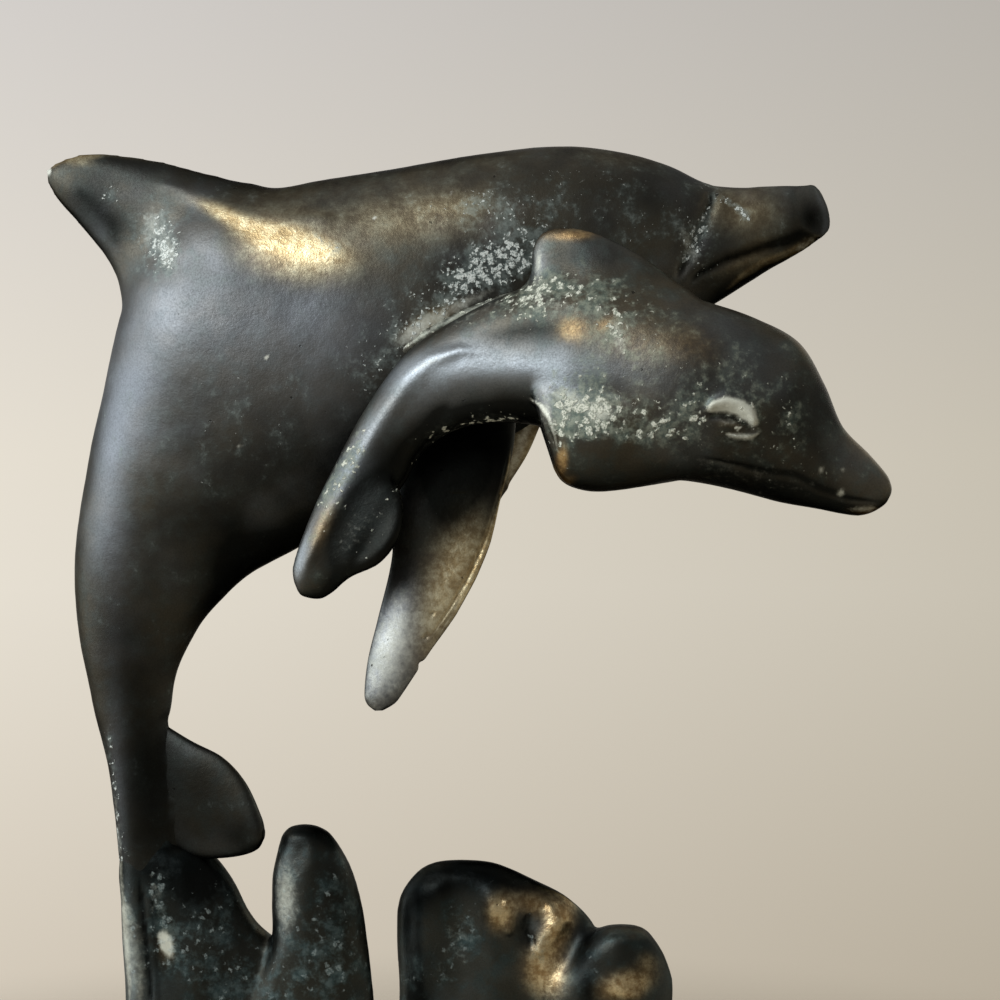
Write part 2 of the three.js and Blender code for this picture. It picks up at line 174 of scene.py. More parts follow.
# Closed body: each section is a superellipse between its back and its belly point. A dorsal fin is the
# offset of its outline from the back, faded by a bell of the angle from the back
def loft(rows, fin, steps, sides, power=2.0):
    rows = np.asarray(rows, float)
    where = np.linspace(0, len(rows) - 1, (len(rows) - 1) * steps + 1)
    read = throughRows(rows, where)
    top, bottom = read[:, [0, 5, 1]], read[:, [2, 5, 3]]
    half = np.maximum(read[:, 4], 0.05)  # mm, so that no section closes up
    even = np.linspace(0, 2 * math.pi, sides, endpoint=False)
    angle = even - (fin["crowding"] if fin else 0) * np.sin(even)
    c, s = np.cos(angle), np.sin(angle)
    up = np.sign(c) * np.abs(c) ** (2 / power)
    out = np.sign(s) * np.abs(s) ** (2 / power)
    middle, reach = (top + bottom) / 2, (top - bottom) / 2
    points = middle[:, None] + reach[:, None] * up[None, :, None]
    points[:, :, 1] += half[:, None] * out[None]
    if fin:
        share = np.clip((where - fin["rows"][0]) / (fin["rows"][1] - fin["rows"][0]), 0, 1)
        outline = throughRows(fin["outline"], share * (len(fin["outline"]) - 1))
        inside = ((share > 0) & (share < 1))[:, None]
        drawn = np.where(inside, outline - top[:, [0, 2]], 0)
        fade = bell(np.minimum(angle, 2 * math.pi - angle), fin["spread"])
        points[:, :, [0, 2]] += drawn[:, None] * fade[None, :, None]
    flat = np.vstack([points.reshape(-1, 3), points[0].mean(0), points[-1].mean(0)])
    return flat, *gridFaces(len(where), sides)


def pointsOf(mesh):
    points = np.empty(len(mesh.vertices) * 3)
    mesh.vertices.foreach_get("co", points)
    return points.reshape(-1, 3) / mm


def normalsOf(mesh):
    normals = np.empty(len(mesh.vertices) * 3)
    mesh.vertices.foreach_get("normal", normals)
    return normals.reshape(-1, 3)


def setPoints(mesh, points):
    mesh.vertices.foreach_set("co", (points * mm).ravel())
    mesh.update()


def edgesOf(mesh):
    edges = np.empty(len(mesh.edges) * 2, int)
    mesh.edges.foreach_get("vertices", edges)
    return edges.reshape(-1, 2)


# Each round moves a point part of the way to the mean of its neighbours, times its weight; keepSize
# pushes it back afterwards, so that the shape doesn't shrink
def relax(points, edges, weight, rounds, keepSize=False):
    shares = (0.5, -0.52) if keepSize else (0.6,)  # of the way to the mean
    n = len(points)
    a, b = edges[:, 0], edges[:, 1]
    count = np.bincount(a, minlength=n) + np.bincount(b, minlength=n)
    for _ in range(rounds):
        for share in shares:
            total = [np.bincount(a, points[b, k], n) + np.bincount(b, points[a, k], n) for k in range(3)]
            points = points + share * weight[:, None] * (np.stack(total, 1) / count[:, None] - points)
    return points


# Closed shapes become one skin: a voxel remesh, then a light smoothing all over and a strong one near
# the joints, which are points in mm where one shape grows out of another
def fuse(name, shapes, voxel, joints, jointWidth, jointRounds):
    evenRounds = 20  # of smoothing all over, which take out the remesh's steps
    starts = np.cumsum([0] + [len(points) for points, _, _ in shapes])
    points = np.vstack([points for points, _, _ in shapes])
    quads = np.vstack([quads + start for (_, quads, _), start in zip(shapes, starts)])
    fans = np.vstack([fans + start for (_, _, fans), start in zip(shapes, starts)])
    piece = newPiece(name, points, quads, fans)
    cover = piece.modifiers.new("cover", "REMESH")
    cover.mode = "VOXEL"
    cover.voxel_size = voxel * mm
    baked = bpy.data.meshes.new_from_object(piece.evaluated_get(bpy.context.evaluated_depsgraph_get()))
    piece.modifiers.clear()
    piece.data = baked
    baked.name = name
    points, edges = pointsOf(baked), edgesOf(baked)
    points = relax(points, edges, np.ones(len(points)), evenRounds, keepSize=True)
    near = np.full(len(points), np.inf)
    for joint in joints:
        near = np.minimum(near, np.linalg.norm(points - joint, axis=1))
    points = relax(points, edges, bell(near, jointWidth), jointRounds)
    setPoints(baked, points)
    baked.polygons.foreach_set("use_smooth", [True] * len(baked.polygons))
    print(name, "fused:", len(points), "points")
    return piece


# How far a point stands out of its place after six rounds of smoothing, in mm: above 0 on edges and below
# 0 in hollows
def curvature(points, normals, edges):
    softer = relax(points, edges, np.ones(len(points)), 6)
    return ((points - softer) * normals).sum(1)


# 1 on the side that faces the picture's view (near), on its other side (far), or all round (both), and
# 0 elsewhere, with a soft border between
def sideOf(normals, side="near"):
    if side == "both":
        return 1.0
    return ramp(-normals[:, 1] if side == "near" else normals[:, 1], -0.15, 0.3)


# Sum of soft patches. Each is an ellipse round a pixel of the photograph: pixel, depth in mm, half length
# and half height in mm, turn in degrees, strength, and its side where that isn't the near one
def spots(points, normals, places):
    total = np.zeros(len(points))
    for pixel, depth, wide, high, turn, strength, *side in places:
        centre = fromPhoto(pixel, depth)
        c, s = math.cos(math.radians(turn)), math.sin(math.radians(turn))
        dx, dz = points[:, 0] - centre[0], points[:, 2] - centre[2]
        a, b = (dx * c + dz * s) / wide, (dz * c - dx * s) / high
        total += strength * np.exp(-(a * a + b * b)) * sideOf(normals, *side)
    return total


# Sum of soft lines. Each runs through pixels of the photograph: pixels, depth in mm, half width in mm,
# strength, and its side where that isn't the near one. Over the last eighth of its length at both ends a
# line fades to 0.15 of its strength, and over the last third it narrows to 0.45 of its width
def strokes(points, normals, lines):
    total = np.zeros(len(points))
    for pixels, depth, width, strength, *side in lines:
        distance, along = lineDistance(points, fromPhoto(pixels, depth)[:, [0, 2]])
        ends = ramp(along, 0, 0.12) * ramp(1 - along, 0, 0.12)
        taper = 0.45 + 0.55 * ramp(along, 0, 0.35) * ramp(1 - along, 0, 0.35)
        total += strength * bell(distance, width * taper) * (0.15 + 0.85 * ends) * sideOf(normals, *side)
    return total


# Moves each point along its normal by what change gives for it, in mm
def carve(piece, change):
    points, normals = pointsOf(piece.data), normalsOf(piece.data)
    setPoints(piece.data, points + normals * change(points, normals)[:, None])


# Stores one number from 0 to 1 for each point, which the material reads by name
def attach(piece, name, values):
    layer = piece.data.attributes.new(name, "FLOAT", "POINT")
    layer.data.foreach_set("value", np.clip(values, 0, 1).astype(np.float32))


# The large dolphin. Rows run from the beak to the tail in mm from the tail root: back x, back z, belly x,
# belly z, half width, sideways. A fin's rows: front x, front z, rear x, rear z, half thickness, sideways.
# The first three rows of a fin or fluke are also fused with the body, as its stub
tailRoot = np.array([-61.0, 0.0, 94.0])
adult = {
    "rows": [
        [163.4, 161.3, 164.6, 150.4, 4.7, -7], [150, 160.3, 151.2, 143.2, 6.5, -5],
        [134.9, 160.8, 137.3, 134.1, 9.5, -3], [123.6, 165.9, 127.2, 127.7, 13.5, -1.5],
        [110.4, 169.6, 115.2, 119.8, 16.5, -0.5], [94.8, 170.5, 99.6, 109.9, 18.5, 0],
        [74.4, 168, 81.6, 100.8, 20, 0], [54, 164.5, 63.6, 90.7, 20.5, 0],
        [33.6, 161.3, 48, 81.6, 20.5, 0], [13.2, 157.9, 39.6, 77, 20, 0],
        [-0.5, 147.6, 34, 73.8, 19, 0], [-6.6, 132, 29, 71.2, 17.5, 0],
        [-11.3, 111.6, 23.1, 67.8, 15.5, 0], [-15.1, 93.6, 17.7, 62.8, 13, 0],
        [-18, 73.2, 11.8, 55.9, 11, 0], [-17, 54, 6.6, 45.8, 8.5, 0], [-13.9, 37.2, 4.8, 35.2, 7, 0],
        [-9.8, 20.4, 4.7, 20.4, 6.5, 0], [-7.4, 0, 7.6, 0, 6.6, 0], [-6.6, -6, 7, -6, 5.4, 0],
        [-5, -12, 5, -12, 3, 0],
    ],
    "dorsal": {
        "rows": (8.3, 11.0),  # between these numbers of the body's rows
        "spread": 0.24,  # radians of the section that the fin's root covers
        "crowding": 0.62,  # draws the points of a section towards the fin
        "outline": [
            [30.5, 161.3], [21, 162.8], [11.8, 164.5], [1.2, 167.4], [-13.2, 169.2], [-21.1, 167.8],
            [-26, 164.8], [-22.7, 158.4], [-18.4, 153.8], [-11.8, 145.8], [-8, 139], [-6.6, 132],
        ],
    },
    "fin": [
        [87.9, 110, 73.7, 111, 3.2, -9], [86.8, 97.9, 62, 97.9, 3, -15],
        [84, 86.4, 59.4, 86.4, 2.7, -18.5], [80.1, 72.6, 58.9, 72.6, 2.4, -21.5],
        [73.7, 60, 55.9, 58.8, 2.1, -24], [66.8, 50.1, 53.9, 49.6, 1.9, -26],
        [61.7, 42.6, 53.2, 42.6, 1.6, -27.5], [59.9, 40.2, 53.7, 40, 1.3, -27.8],
        [57.3, 38.6, 55.4, 38.5, 0.7, -28],
    ],
    "farFinForward": [8, 4, 0, -1.5, -1.5, -1.5, -1.5, -1.5, -1.5],  # mm, for each row of the far fin
    "fluke": [  # distance from the stock, upper z, distance, lower z, half thickness, sideways
        [-3, 36, -3, 2, 2.8, 0], [9.6, 29, 9.6, 0.6, 2.7, 0], [18.5, 24.9, 17.5, 0.8, 2.4, 0],
        [24.3, 19.2, 23.6, 1.8, 2.1, 0], [28, 11.6, 27.4, 3.4, 1.7, 0], [29, 8.2, 28.8, 5.6, 1, 0],
    ],
    "flukeTurns": (-16, 112),  # degrees about Z
    "bladeInside": 1.0,  # mm off the half thickness of a fin's or fluke's first row
    "bladeOutside": 0.12,  # mm added to its other rows
    "voxel": 0.85,
    # Where the fused shapes are softened: rows of the fins, x and y by the flukes at four heights, and
    # x and z at several depths
    "finRoot": (0.6, 1.0),
    "flukeRoot": [(3, -6), (5, 2), (-2, 7)],
    "flukeHeights": (8, 16, 24, 32),
    "soft": {
        "dorsalRoot": ([(21, 162), (27, 161), (33, 161)], (-4, 0, 4)),
    },
    "softening": (3.5, 40),  # mm round these places, and rounds
    "finLines": [
        ([(514, 452), (506, 490), (492, 536), (474, 578), (454, 614), (432, 646)],
         -25, 0.5, 0.35, "both"),
        ([(509, 452), (501, 490), (487, 536), (469, 576), (449, 610), (428, 640)],
         -25, 0.45, -0.3, "both"),
    ],
    "finForms": [
        ((402, 640), -26, 4.5, 15, -18, 1.1), ((432, 614), -26, 0.5, 0.4, 0, -0.6),
        ((426, 637), -26, 0.8, 0.5, 30, -0.6), ((480, 556), -25, 0.6, 0.5, 0, -0.5),
        ((421, 664), -26, 0.9, 0.6, 40, -0.7, "both"), ((440, 560), -26, 4.5, 16, -20, -0.35, "both"),
    ],
    "beakEnd": {
        "edges": ((102.6, -1.4), (92.0, -12.4)),  # x and y of the oblique face's far and near edge
        "lean": 0.3,  # back for each mm up
        "pixel": (812, 219),  # of the photograph, and depth, where the face has its middle
        "depth": -7,
        "hollow": 0.2,  # mm deep
        "hollowWidth": 5.0,
        "hollowStart": -1.5,  # mm behind the face
        "rimWidth": 8,
    },
    "dorsalTip": (-25.0, 0, 165.0),
    "tipWidth": 5,
    "tipRounds": 12,  # of smoothing, on the beak's end and the dorsal fin's tip
    # Modelled lines: pixels of the photograph, depth, half width, height (below 0 a groove), side
    "lines": [
        ([(150, 180), (180, 188), (205, 200), (240, 213), (300, 222), (345, 223)], -8, 2.8, 0.55),
        ([(716, 184), (712, 200), (707, 215), (700, 235), (690, 255), (676, 282)],
         -12, 1.9, -1.1, "both"),
        ([(822, 232), (796, 240), (770, 247), (725, 262), (700, 275), (684, 288)],
         -10, 1.2, -0.7, "both"),
        ([(824, 240), (790, 253), (762, 264), (740, 278), (724, 292)], -9, 1.2, 0.5, "both"),
        ([(745, 196), (775, 193), (800, 189)], -9, 2.2, 0.4, "both"),
        ([(163, 712), (165, 760), (169, 805)], -6, 2.4, -0.5, "both"),
    ],
    # Soft swellings and hollows: pixel, depth, half length, half height, turn, height, side
    "forms": [
        ((640, 272), -18, 3.4, 1.8, 0, 0.9, "both"), ((730, 225), -10, 7.0, 5.0, -10, -0.5),
        ((300, 250), -16, 22.0, 7.0, -8, 0.6), ((160, 250), -10, 9.0, 14.0, 25, -0.5, "both"),
        ((560, 200), -14, 26.0, 7.0, -4, 0.5),
    ],
}


# Turns a shape about Z, leans it about Y, and moves it to its foot, measured from the tail root
def placed(shape, turn=0.0, lean=0.0, foot=(0.0, 0.0, 0.0)):
    points, quads, fans = shape
    t, q = math.radians(turn), math.radians(lean)
    turned = points @ np.array([[math.cos(t), math.sin(t), 0], [-math.sin(t), math.cos(t), 0], [0, 0, 1]])
    leaned = turned @ np.array([[math.cos(q), 0, -math.sin(q)], [0, 1, 0], [math.sin(q), 0, math.cos(q)]])
    return leaned + tailRoot + np.array(foot), quads, fans


# The same fin on the other side of a plane, its rows carried forward
def mirrored(rows, plane, forward=0.0):
    rows = np.array(rows, float)
    rows[:, 0] += forward
    rows[:, 2] += forward
    rows[:, 5] = 2 * plane - rows[:, 5]
    return rows


# Seven points across a fin at one of its rows, where it meets the body
def rootLine(rows, row):
    a = throughRows(rows, [row])[0]
    share = np.linspace(0, 1, 7)[:, None]
    return tailRoot + np.array([a[0], a[5], a[1]]) * (1 - share) + np.array([a[2], a[5], a[3]]) * share


# Points in mm at these x and z from the tail root, each at all the depths
def throughBody(places, depths):
    return [tailRoot + np.array([x, y, z]) for x, z in places for y in depths]


# Uneven skin of a sand casting, in mm: value noise from 17 mm down to 2.2 mm across
def castSkin(points, seed, height):
    broad = 0.16 * layeredNoise(points, 17, seed, 2)
    fine = 0.02 * latticeNoise(points, 2.2, seed + 9)
    return height * (broad + 0.035 * latticeNoise(points, 5, seed + 7) + fine)


# Carves a casting's modelled lines and forms, and its skin, into a piece
def modelled(piece, lines, forms, seed, skin):
    carve(piece, lambda points, normals: strokes(points, normals, lines)
          + spots(points, normals, forms) + castSkin(points, seed, skin))


# Fin or fluke as a piece of its own, thinner than its stub inside the body and a little thicker outside
def makeBlade(name, rows, turn, node, kind):
    rows = np.array(rows, float)
    rows[0, 4] -= adult["bladeInside"]
    rows[1:, 4] += adult["bladeOutside"]
    piece = newPiece(name, *placed(loft(rows, None, steps=24, sides=112, power=2.3), turn))
    pectoral = kind == "pectoral"
    lines, forms = (adult["finLines"], adult["finForms"]) if pectoral else ([], [])
    modelled(piece, lines, forms, seed=9, skin=0.6)
    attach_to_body(piece, "root")
    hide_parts(node)


# The beak ends in an oblique plane with a hollow: points past the plane are set back onto it, the hollow
# is a bell round its middle, and its edge and the dorsal fin's tip are rounded
def endBeak(piece):
    end = adult["beakEnd"]
    points = pointsOf(piece.data)
    (farX, farY), (nearX, nearY) = end["edges"]
    out = np.array([farY - nearY, nearX - farX]) / math.hypot(farX - nearX, farY - nearY)
    middleZ = fromPhoto(end["pixel"], end["depth"])[2]
    centre = np.array([(farX + nearX) / 2, (farY + nearY) / 2, middleZ])
    past = ((points[:, 0] - farX) * out[0] + (points[:, 1] - farY) * out[1]
            + (points[:, 2] - middleZ) * end["lean"])
    dip = end["hollow"] * bell(np.linalg.norm(points - centre, axis=1), end["hollowWidth"])
    move = np.where(past > 0, past, 0) + dip * (past > end["hollowStart"])
    points[:, 0] -= move * out[0]
    points[:, 1] -= move * out[1]
    tip = tailRoot + np.array(adult["dorsalTip"])
    rim = (bell(np.linalg.norm(points - centre, axis=1), end["rimWidth"])
           + bell(np.linalg.norm(points - tip, axis=1), adult["tipWidth"]))
    setPoints(piece.data, relax(points, edgesOf(piece.data), rim, adult["tipRounds"]))


# The large dolphin: body, dorsal fin and the stubs of fins and flukes as one skin, and its four blades
def makeAdult():
    nearFin = np.array(adult["fin"])
    farFin = mirrored(adult["fin"], 0, np.array(adult["farFinForward"]))
    shapes = [placed(loft(adult["rows"], adult["dorsal"], steps=8, sides=96, power=2.15))]
    shapes += [placed(loft(fin[:3], None, steps=14, sides=40)) for fin in (nearFin, farFin)]
    flukeStub = loft(adult["fluke"][:3], None, steps=14, sides=40)
    shapes += [placed(flukeStub, turn) for turn in adult["flukeTurns"]]
    makeBlade("adultFinNear", nearFin, 0, "adult_pectoral_fin_near", "pectoral")
    makeBlade("adultFinFar", farFin, 0, "adult_pectoral_fin_far", "pectoral")
    for number, turn in enumerate(adult["flukeTurns"]):
        makeBlade(f"adultFluke{number + 1}", adult["fluke"], turn, "adult_tail_flukes", "tail")
    joints = [rootLine(fin, row) for fin in (nearFin, farFin) for row in adult["finRoot"]]
    for x, y in adult["flukeRoot"]:
        joints += throughBody([(x, z) for z in adult["flukeHeights"]], [y])
    for places, depths in adult["soft"].values():
        joints += throughBody(places, depths)
    piece = fuse("adultDolphin", shapes, adult["voxel"], np.vstack(joints), *adult["softening"])
    modelled(piece, adult["lines"], adult["forms"], seed=3, skin=1.0)
    endBeak(piece)
    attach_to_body(piece, "root")
    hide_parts("adult_body", "adult_tail_flukes")


# The small dolphin, in the same measure
calf = {
    "rows": [
        [170.4, 88.8, 170.2, 87.2, 0.8, -41], [169.2, 91.6, 168.2, 84.5, 3.9, -41],
        [165.6, 96, 163, 82.5, 6, -40.5], [159.5, 102.5, 153.7, 84.1, 7.5, -40],
        [155.5, 112.1, 145.7, 85.5, 11, -39], [149.9, 121.1, 136.5, 88, 14, -38],
        [139.9, 126.6, 125.3, 90.2, 15.5, -37], [128.7, 130.5, 115.3, 93, 16, -36],
        [115.3, 134.4, 104.1, 97.6, 15, -34], [101.9, 136.4, 95.8, 101.6, 13.5, -32],
        [88.5, 133.8, 88.5, 103.4, 11.5, -29.5], [73.9, 127.1, 77.3, 102.9, 9.5, -27.5],
        [62.6, 119.5, 69.9, 99.8, 8, -26.5], [53, 106.3, 65.5, 95.8, 6.5, -27],
        [46.8, 94.9, 62.1, 89.5, 5.5, -28], [41.2, 83.1, 55, 79.4, 4.5, -29.5],
        [37, 71.4, 49.3, 68, 3.4, -31], [37.1, 66.4, 47.7, 65, 2.9, -31],
        [38.2, 63.4, 43.6, 62.6, 1.8, -31],
    ],
    "dorsal": {
        "rows": (7.0, 10.0),
        "spread": 0.36,
        "crowding": 0.62,
        "outline": [
            [128.7, 130.5], [120.9, 137], [113, 142.3], [104.1, 146.3], [97.4, 147.2], [92.9, 145.8],
            [90.9, 141.8], [90.7, 137.3], [88.5, 133.8],
        ],
    },
    "fin": [
        [134, 112, 137, 92.8, 7.5, -38.5], [122, 115, 125, 90.4, 9.4, -39.6],
        [112, 114.5, 113.5, 88.7, 10, -40], [105, 113.5, 106, 87.9, 9.2, -40.6],
        [97.5, 113, 101, 88.6, 7.2, -41], [92.8, 111.6, 97.9, 90.2, 4.6, -41.4],
        [90.8, 109.8, 96.2, 92.6, 2.2, -42],
    ],
    "finPlane": -35.0,  # y of the plane in which the far fin mirrors the near one
    "fluke": [
        [-3, 30, -3, -3.4, 2.9, 0], [3, 29, 2.5, -2.4, 2.9, 0], [7.4, 27, 6.6, 1.8, 2.6, 0],
        [10.2, 24, 9.4, 5.5, 2.2, 0], [12.4, 20, 11.6, 9.2, 1.7, 0], [13.2, 16.7, 12.6, 12.6, 0.9, 0],
    ],
    "flukeTurns": (-26, 100),
    "flukeLean": 27.0,  # degrees about Y
    "flukeFoot": (43.0, -31.0, 68.0),  # mm from the tail root
    "voxel": 0.5,
    # Where the fused shapes are softened: rows of the fins, heights along the flukes' middle, and x and z
    # at several depths
    "finRoot": (0, 0.6, 1.2, 1.8, 2.4, 3),
    "flukeHeights": (-3, 2, 8, 14, 20, 26),
    "soft": {
        "dorsalRoot": ([(120, 134), (110, 135.5), (100, 136), (92, 134.5)], (-37, -33, -29)),
        "finShoulder": ([(101, 113.5), (97, 113), (93, 111.8)], (-50, -47)),  # pectoral fin's upper edge
        "chin": ([(122, 89.2), (126, 89.6), (130, 90)], (-44, -40, -36)),  # its lower edge, by the jaw
        "heel": ([(46.5, 65.5), (48.5, 66), (50.5, 67)], (-34, -31, -28)),  # fluke's lower edge
    },
    "softening": (4.6, 130),
    "lines": [
        ([(704, 411), (713, 404), (725, 401), (737, 403), (748, 412), (756, 427)],
         -50, 1.5, 1.15, "both"),
        ([(706, 418), (720, 415), (735, 418), (746, 424), (753, 431)], -50, 1.0, -0.65, "both"),
        ([(728, 437), (745, 437), (759, 433)], -50, 0.7, 0.5, "both"),
        ([(700, 458), (735, 466), (765, 473), (795, 477), (820, 490), (850, 500), (884, 503)],
         -47, 0.8, -0.35, "both"),
        ([(806, 402), (826, 426), (838, 446), (836, 466)], -46, 2.4, -0.22, "both"),
        ([(486, 353), (460, 352), (432, 361), (407, 382), (385, 415), (350, 475), (322, 530),
         (302, 578)], -32, 2.5, 0.6),
        ([(450, 400), (424, 450), (386, 515), (350, 570)], -34, 3.4, -0.7),
        ([(546, 388), (570, 404), (606, 424), (650, 436)], -46, 2.0, -0.4),
        ([(530, 398), (541, 406), (550, 420), (557, 442)], -44, 0.7, 0.4),
    ],
    "forms": [
        ((733, 425), -50, 3.2, 1.3, -14, 0.5, "both"), ((690, 350), -48, 13.0, 6.0, -25, 0.5),
        ((590, 330), -46, 10.0, 5.0, 10, -0.4), ((560, 260), -34, 4.0, 7.0, 10, -0.6),
        ((780, 440), -44, 8.0, 4.0, -35, -0.35), ((530, 377), -38, 14.0, 3.8, -2, 0.8),
        ((518, 338), -36, 12.0, 2.8, 4, -0.5),
    ],
}


# The small dolphin: body, fins and flukes, all as one skin
def makeCalf():
    nearFin, farFin = np.array(calf["fin"]), mirrored(calf["fin"], calf["finPlane"])
    shapes = [placed(loft(calf["rows"], calf["dorsal"], steps=8, sides=96, power=2.1))]
    shapes += [placed(loft(fin, None, steps=10, sides=40)) for fin in (nearFin, farFin)]
    fluke = loft(calf["fluke"], None, steps=10, sides=40)
    shapes += [placed(fluke, turn, calf["flukeLean"], calf["flukeFoot"]) for turn in calf["flukeTurns"]]
    # Of a fin's root, only the half from its upper edge to its middle is softened
    joints = [rootLine(fin, row)[:4] for fin in (nearFin, farFin) for row in calf["finRoot"]]
    lean, foot = math.radians(calf["flukeLean"]), tailRoot + np.array(calf["flukeFoot"])
    joints += [foot + up * np.array([math.sin(lean), 0, math.cos(lean)]) for up in calf["flukeHeights"]]
    for places, depths in calf["soft"].values():
        joints += throughBody(places, depths)
    piece = fuse("calfDolphin", shapes, calf["voxel"], np.vstack(joints), *calf["softening"])
    modelled(piece, calf["lines"], calf["forms"], seed=21, skin=0.8)
    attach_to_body(piece, "root")
    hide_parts("calf_body", "calf_tail_flukes", "calf_pectoral_fin_near", "calf_pectoral_fin_far")


# Brazing that runs along the back of the small dolphin, on the side of the large one
seam = {
    "line": [[60, -19, 119.2], [63, -19.3, 121.4], [70, -20, 125.8], [81, -20, 130.7], [91, -19.6, 133.8],
             [94, -19.4, 134.6]],  # mm from the tail root
    "radius": 1.35,
    "lumps": 0.2,  # share of the radius
    "lumpSize": 3.5,
}


# Tube: rings square to the line, whose radius swells from the ends and wanders with value noise
def makeSeam():
    rings, sides = 90, 28
    along = np.linspace(0, 1, rings)
    line = throughRows(seam["line"], along * (len(seam["line"]) - 1)) + tailRoot
    onward = np.gradient(line, axis=0)
    onward /= np.linalg.norm(onward, axis=1)[:, None]
    first = np.cross(onward, [0, 1, 0])
    first /= np.linalg.norm(first, axis=1)[:, None]
    second = np.cross(onward, first)
    angle = np.linspace(0, 2 * math.pi, sides, endpoint=False)[None, :, None]
    around = first[:, None] * np.cos(angle) + second[:, None] * np.sin(angle)
    radius = seam["radius"] * np.sqrt(np.clip(1 - (2 * along - 1) ** 8, 0.02, 1))[:, None, None]
    points = (line[:, None] + around * radius).reshape(-1, 3)
    lumps = 1 + seam["lumps"] * layeredNoise(points, seam["lumpSize"], seed=77, layers=2)
    middle = np.repeat(line, sides, axis=0)
    points = middle + (points - middle) * lumps[:, None]
    flat = np.vstack([points, line[0], line[-1]])
    quads, fans = gridFaces(rings, sides)
    piece = newPiece("brazeSeam", flat, quads, fans)
    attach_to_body(piece, "root")
    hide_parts("calf_braze_bead")


# The waves. A tongue's rows run down from its crest: left x and right x from its middle, and its height,
# from 1 at the crest to 0 at the foot
waves = {
    "foot": 8.0,
    "topHalf": 7.1,  # half thickness at the crest
    "rootHalf": 11.0,  # and at the foot
    "tongues": {  # middle x, crest z, y, rows
        "tail": (-61.0, 99.0, 0.0, [
            [-4, 7, 1], [-6.5, 11, 0.98], [-7.6, 14.6, 0.957], [-7.7, 17.6, 0.92], [-7.4, 20.6, 0.87],
            [-6.8, 24.4, 0.79], [-6.2, 28.5, 0.745], [-6, 34, 0.71],
            [-5.5, 42, 0.64], [-5, 47, 0.52], [-5.5, 51, 0.34], [-9, 56, 0.15], [-13, 60, 0]]),
        "finger": (-61.0, 103.0, -4.0, [
            [36.4, 38, 1], [33.4, 41.2, 0.992], [31.2, 44.4, 0.965], [29.9, 47.6, 0.9], [29.7, 50.4, 0.8],
            [28.9, 52, 0.7], [23, 54.2, 0.55], [17, 56.2, 0.35], [14, 61, 0.14], [13, 65, 0]]),
        "side": (18.0, 90.3, 19.0, [
            [-5.6, -3.4, 1], [-9.6, 1.2, 0.997], [-13.8, 5.8, 0.982], [-17.4, 12.4, 0.945],
            [-20.1, 21.7, 0.885], [-20.6, 29.4, 0.78], [-20.3, 33, 0.57], [-21.6, 33, 0.34],
            [-24, 32, 0.15], [-28, 32, 0]]),
        "shoulder": (18.0, 75.6, 13.0, [
            [32.4, 35.4, 1], [28.8, 39.2, 0.99], [26, 42.2, 0.955], [22, 45.8, 0.865], [16, 47, 0.76],
            [12, 45.6, 0.62], [9, 42.6, 0.45], [7, 41.4, 0.24], [5, 43, 0]]),
    },
    "crestRound": 6.0,  # mm below the crest where a wave reaches its full thickness
    "stub": [  # the tail's foot, from just inside its skin down into the wave, as rows from the tail root
        [-7.5, 6, 6.8, 6, 6.0, 0], [-7.8, 1.5, 7.8, 1.5, 6.6, 0], [-8, 0, 8, 0, 6.9, 0],
        [-8, -4, 5.5, -4, 6.9, 0], [-7.4, -10, 1.0, -10, 6.4, 0], [-6.6, -20, 0.5, -20, 5.8, 0],
        [-5.6, -32, 1.4, -32, 5.6, 0], [-4.6, -44, 3, -44, 5.4, 0],
    ],
    # Pixels where the fused waves are softened: between the side wave and its shoulder, beside the tail,
    # and at the tops
    "soft": {
        "valley": [(590, 940), (580, 955), (570, 970), (558, 985), (546, 1000)],
        "tailSide": [(182, 866), (183, 880), (183, 895), (182, 910), (180, 925), (178, 940)],
        "fingerTop": [(294, 842), (304, 838), (316, 838), (328, 844)],
        "crest": [(412, 886), (430, 879), (455, 875), (480, 877), (502, 882), (411, 910), (424, 898),
                  (448, 891), (475, 892), (500, 898)],
    },
    "softMiddle": 5.0,  # mm, depth of these pixels
    "softDepths": (-16, -12, -8, -4, 0, 4, 8),  # from that depth
    "softening": (4.5, 50),
    "voxel": 0.8,
    "streaks": 0.7,  # mm, height of the ridges that run up a wave
    "streakSize": 7,
    "streakSqueeze": 0.28,  # of heights, which draws the ridges out upwards
    # Modelled lines and forms, as on the dolphins
    "lines": [
        ([(505, 900), (512, 922), (508, 940)], 8, 2.0, 1.0),
        ([(548, 905), (556, 925), (545, 945), (535, 962)], 8, 2.4, 1.1),
        ([(530, 915), (528, 935), (533, 950)], 8, 1.5, -1.3),
        ([(138, 878), (143, 925), (147, 970), (151, 1010)], -7, 0.9, -0.6),
    ],
    "forms": [
        ((495, 912), 8, 2.4, 4.0, 20, 0.9), ((560, 925), 8, 2.6, 5.0, -20, 0.9),
        ((547, 975), 8, 4.4, 4.6, 0, 1.1), ((622, 992), 6, 6.0, 2.6, -15, 1.0),
        ((455, 930), 9, 5.0, 12.0, 0, -0.8), ((166, 946), -7, 2.0, 3.4, 0, 0.5),
        ((205, 950), -7, 5.0, 9.0, 20, -0.6), ((325, 905), -9, 4.0, 12.0, 0, -0.4),
    ],
}


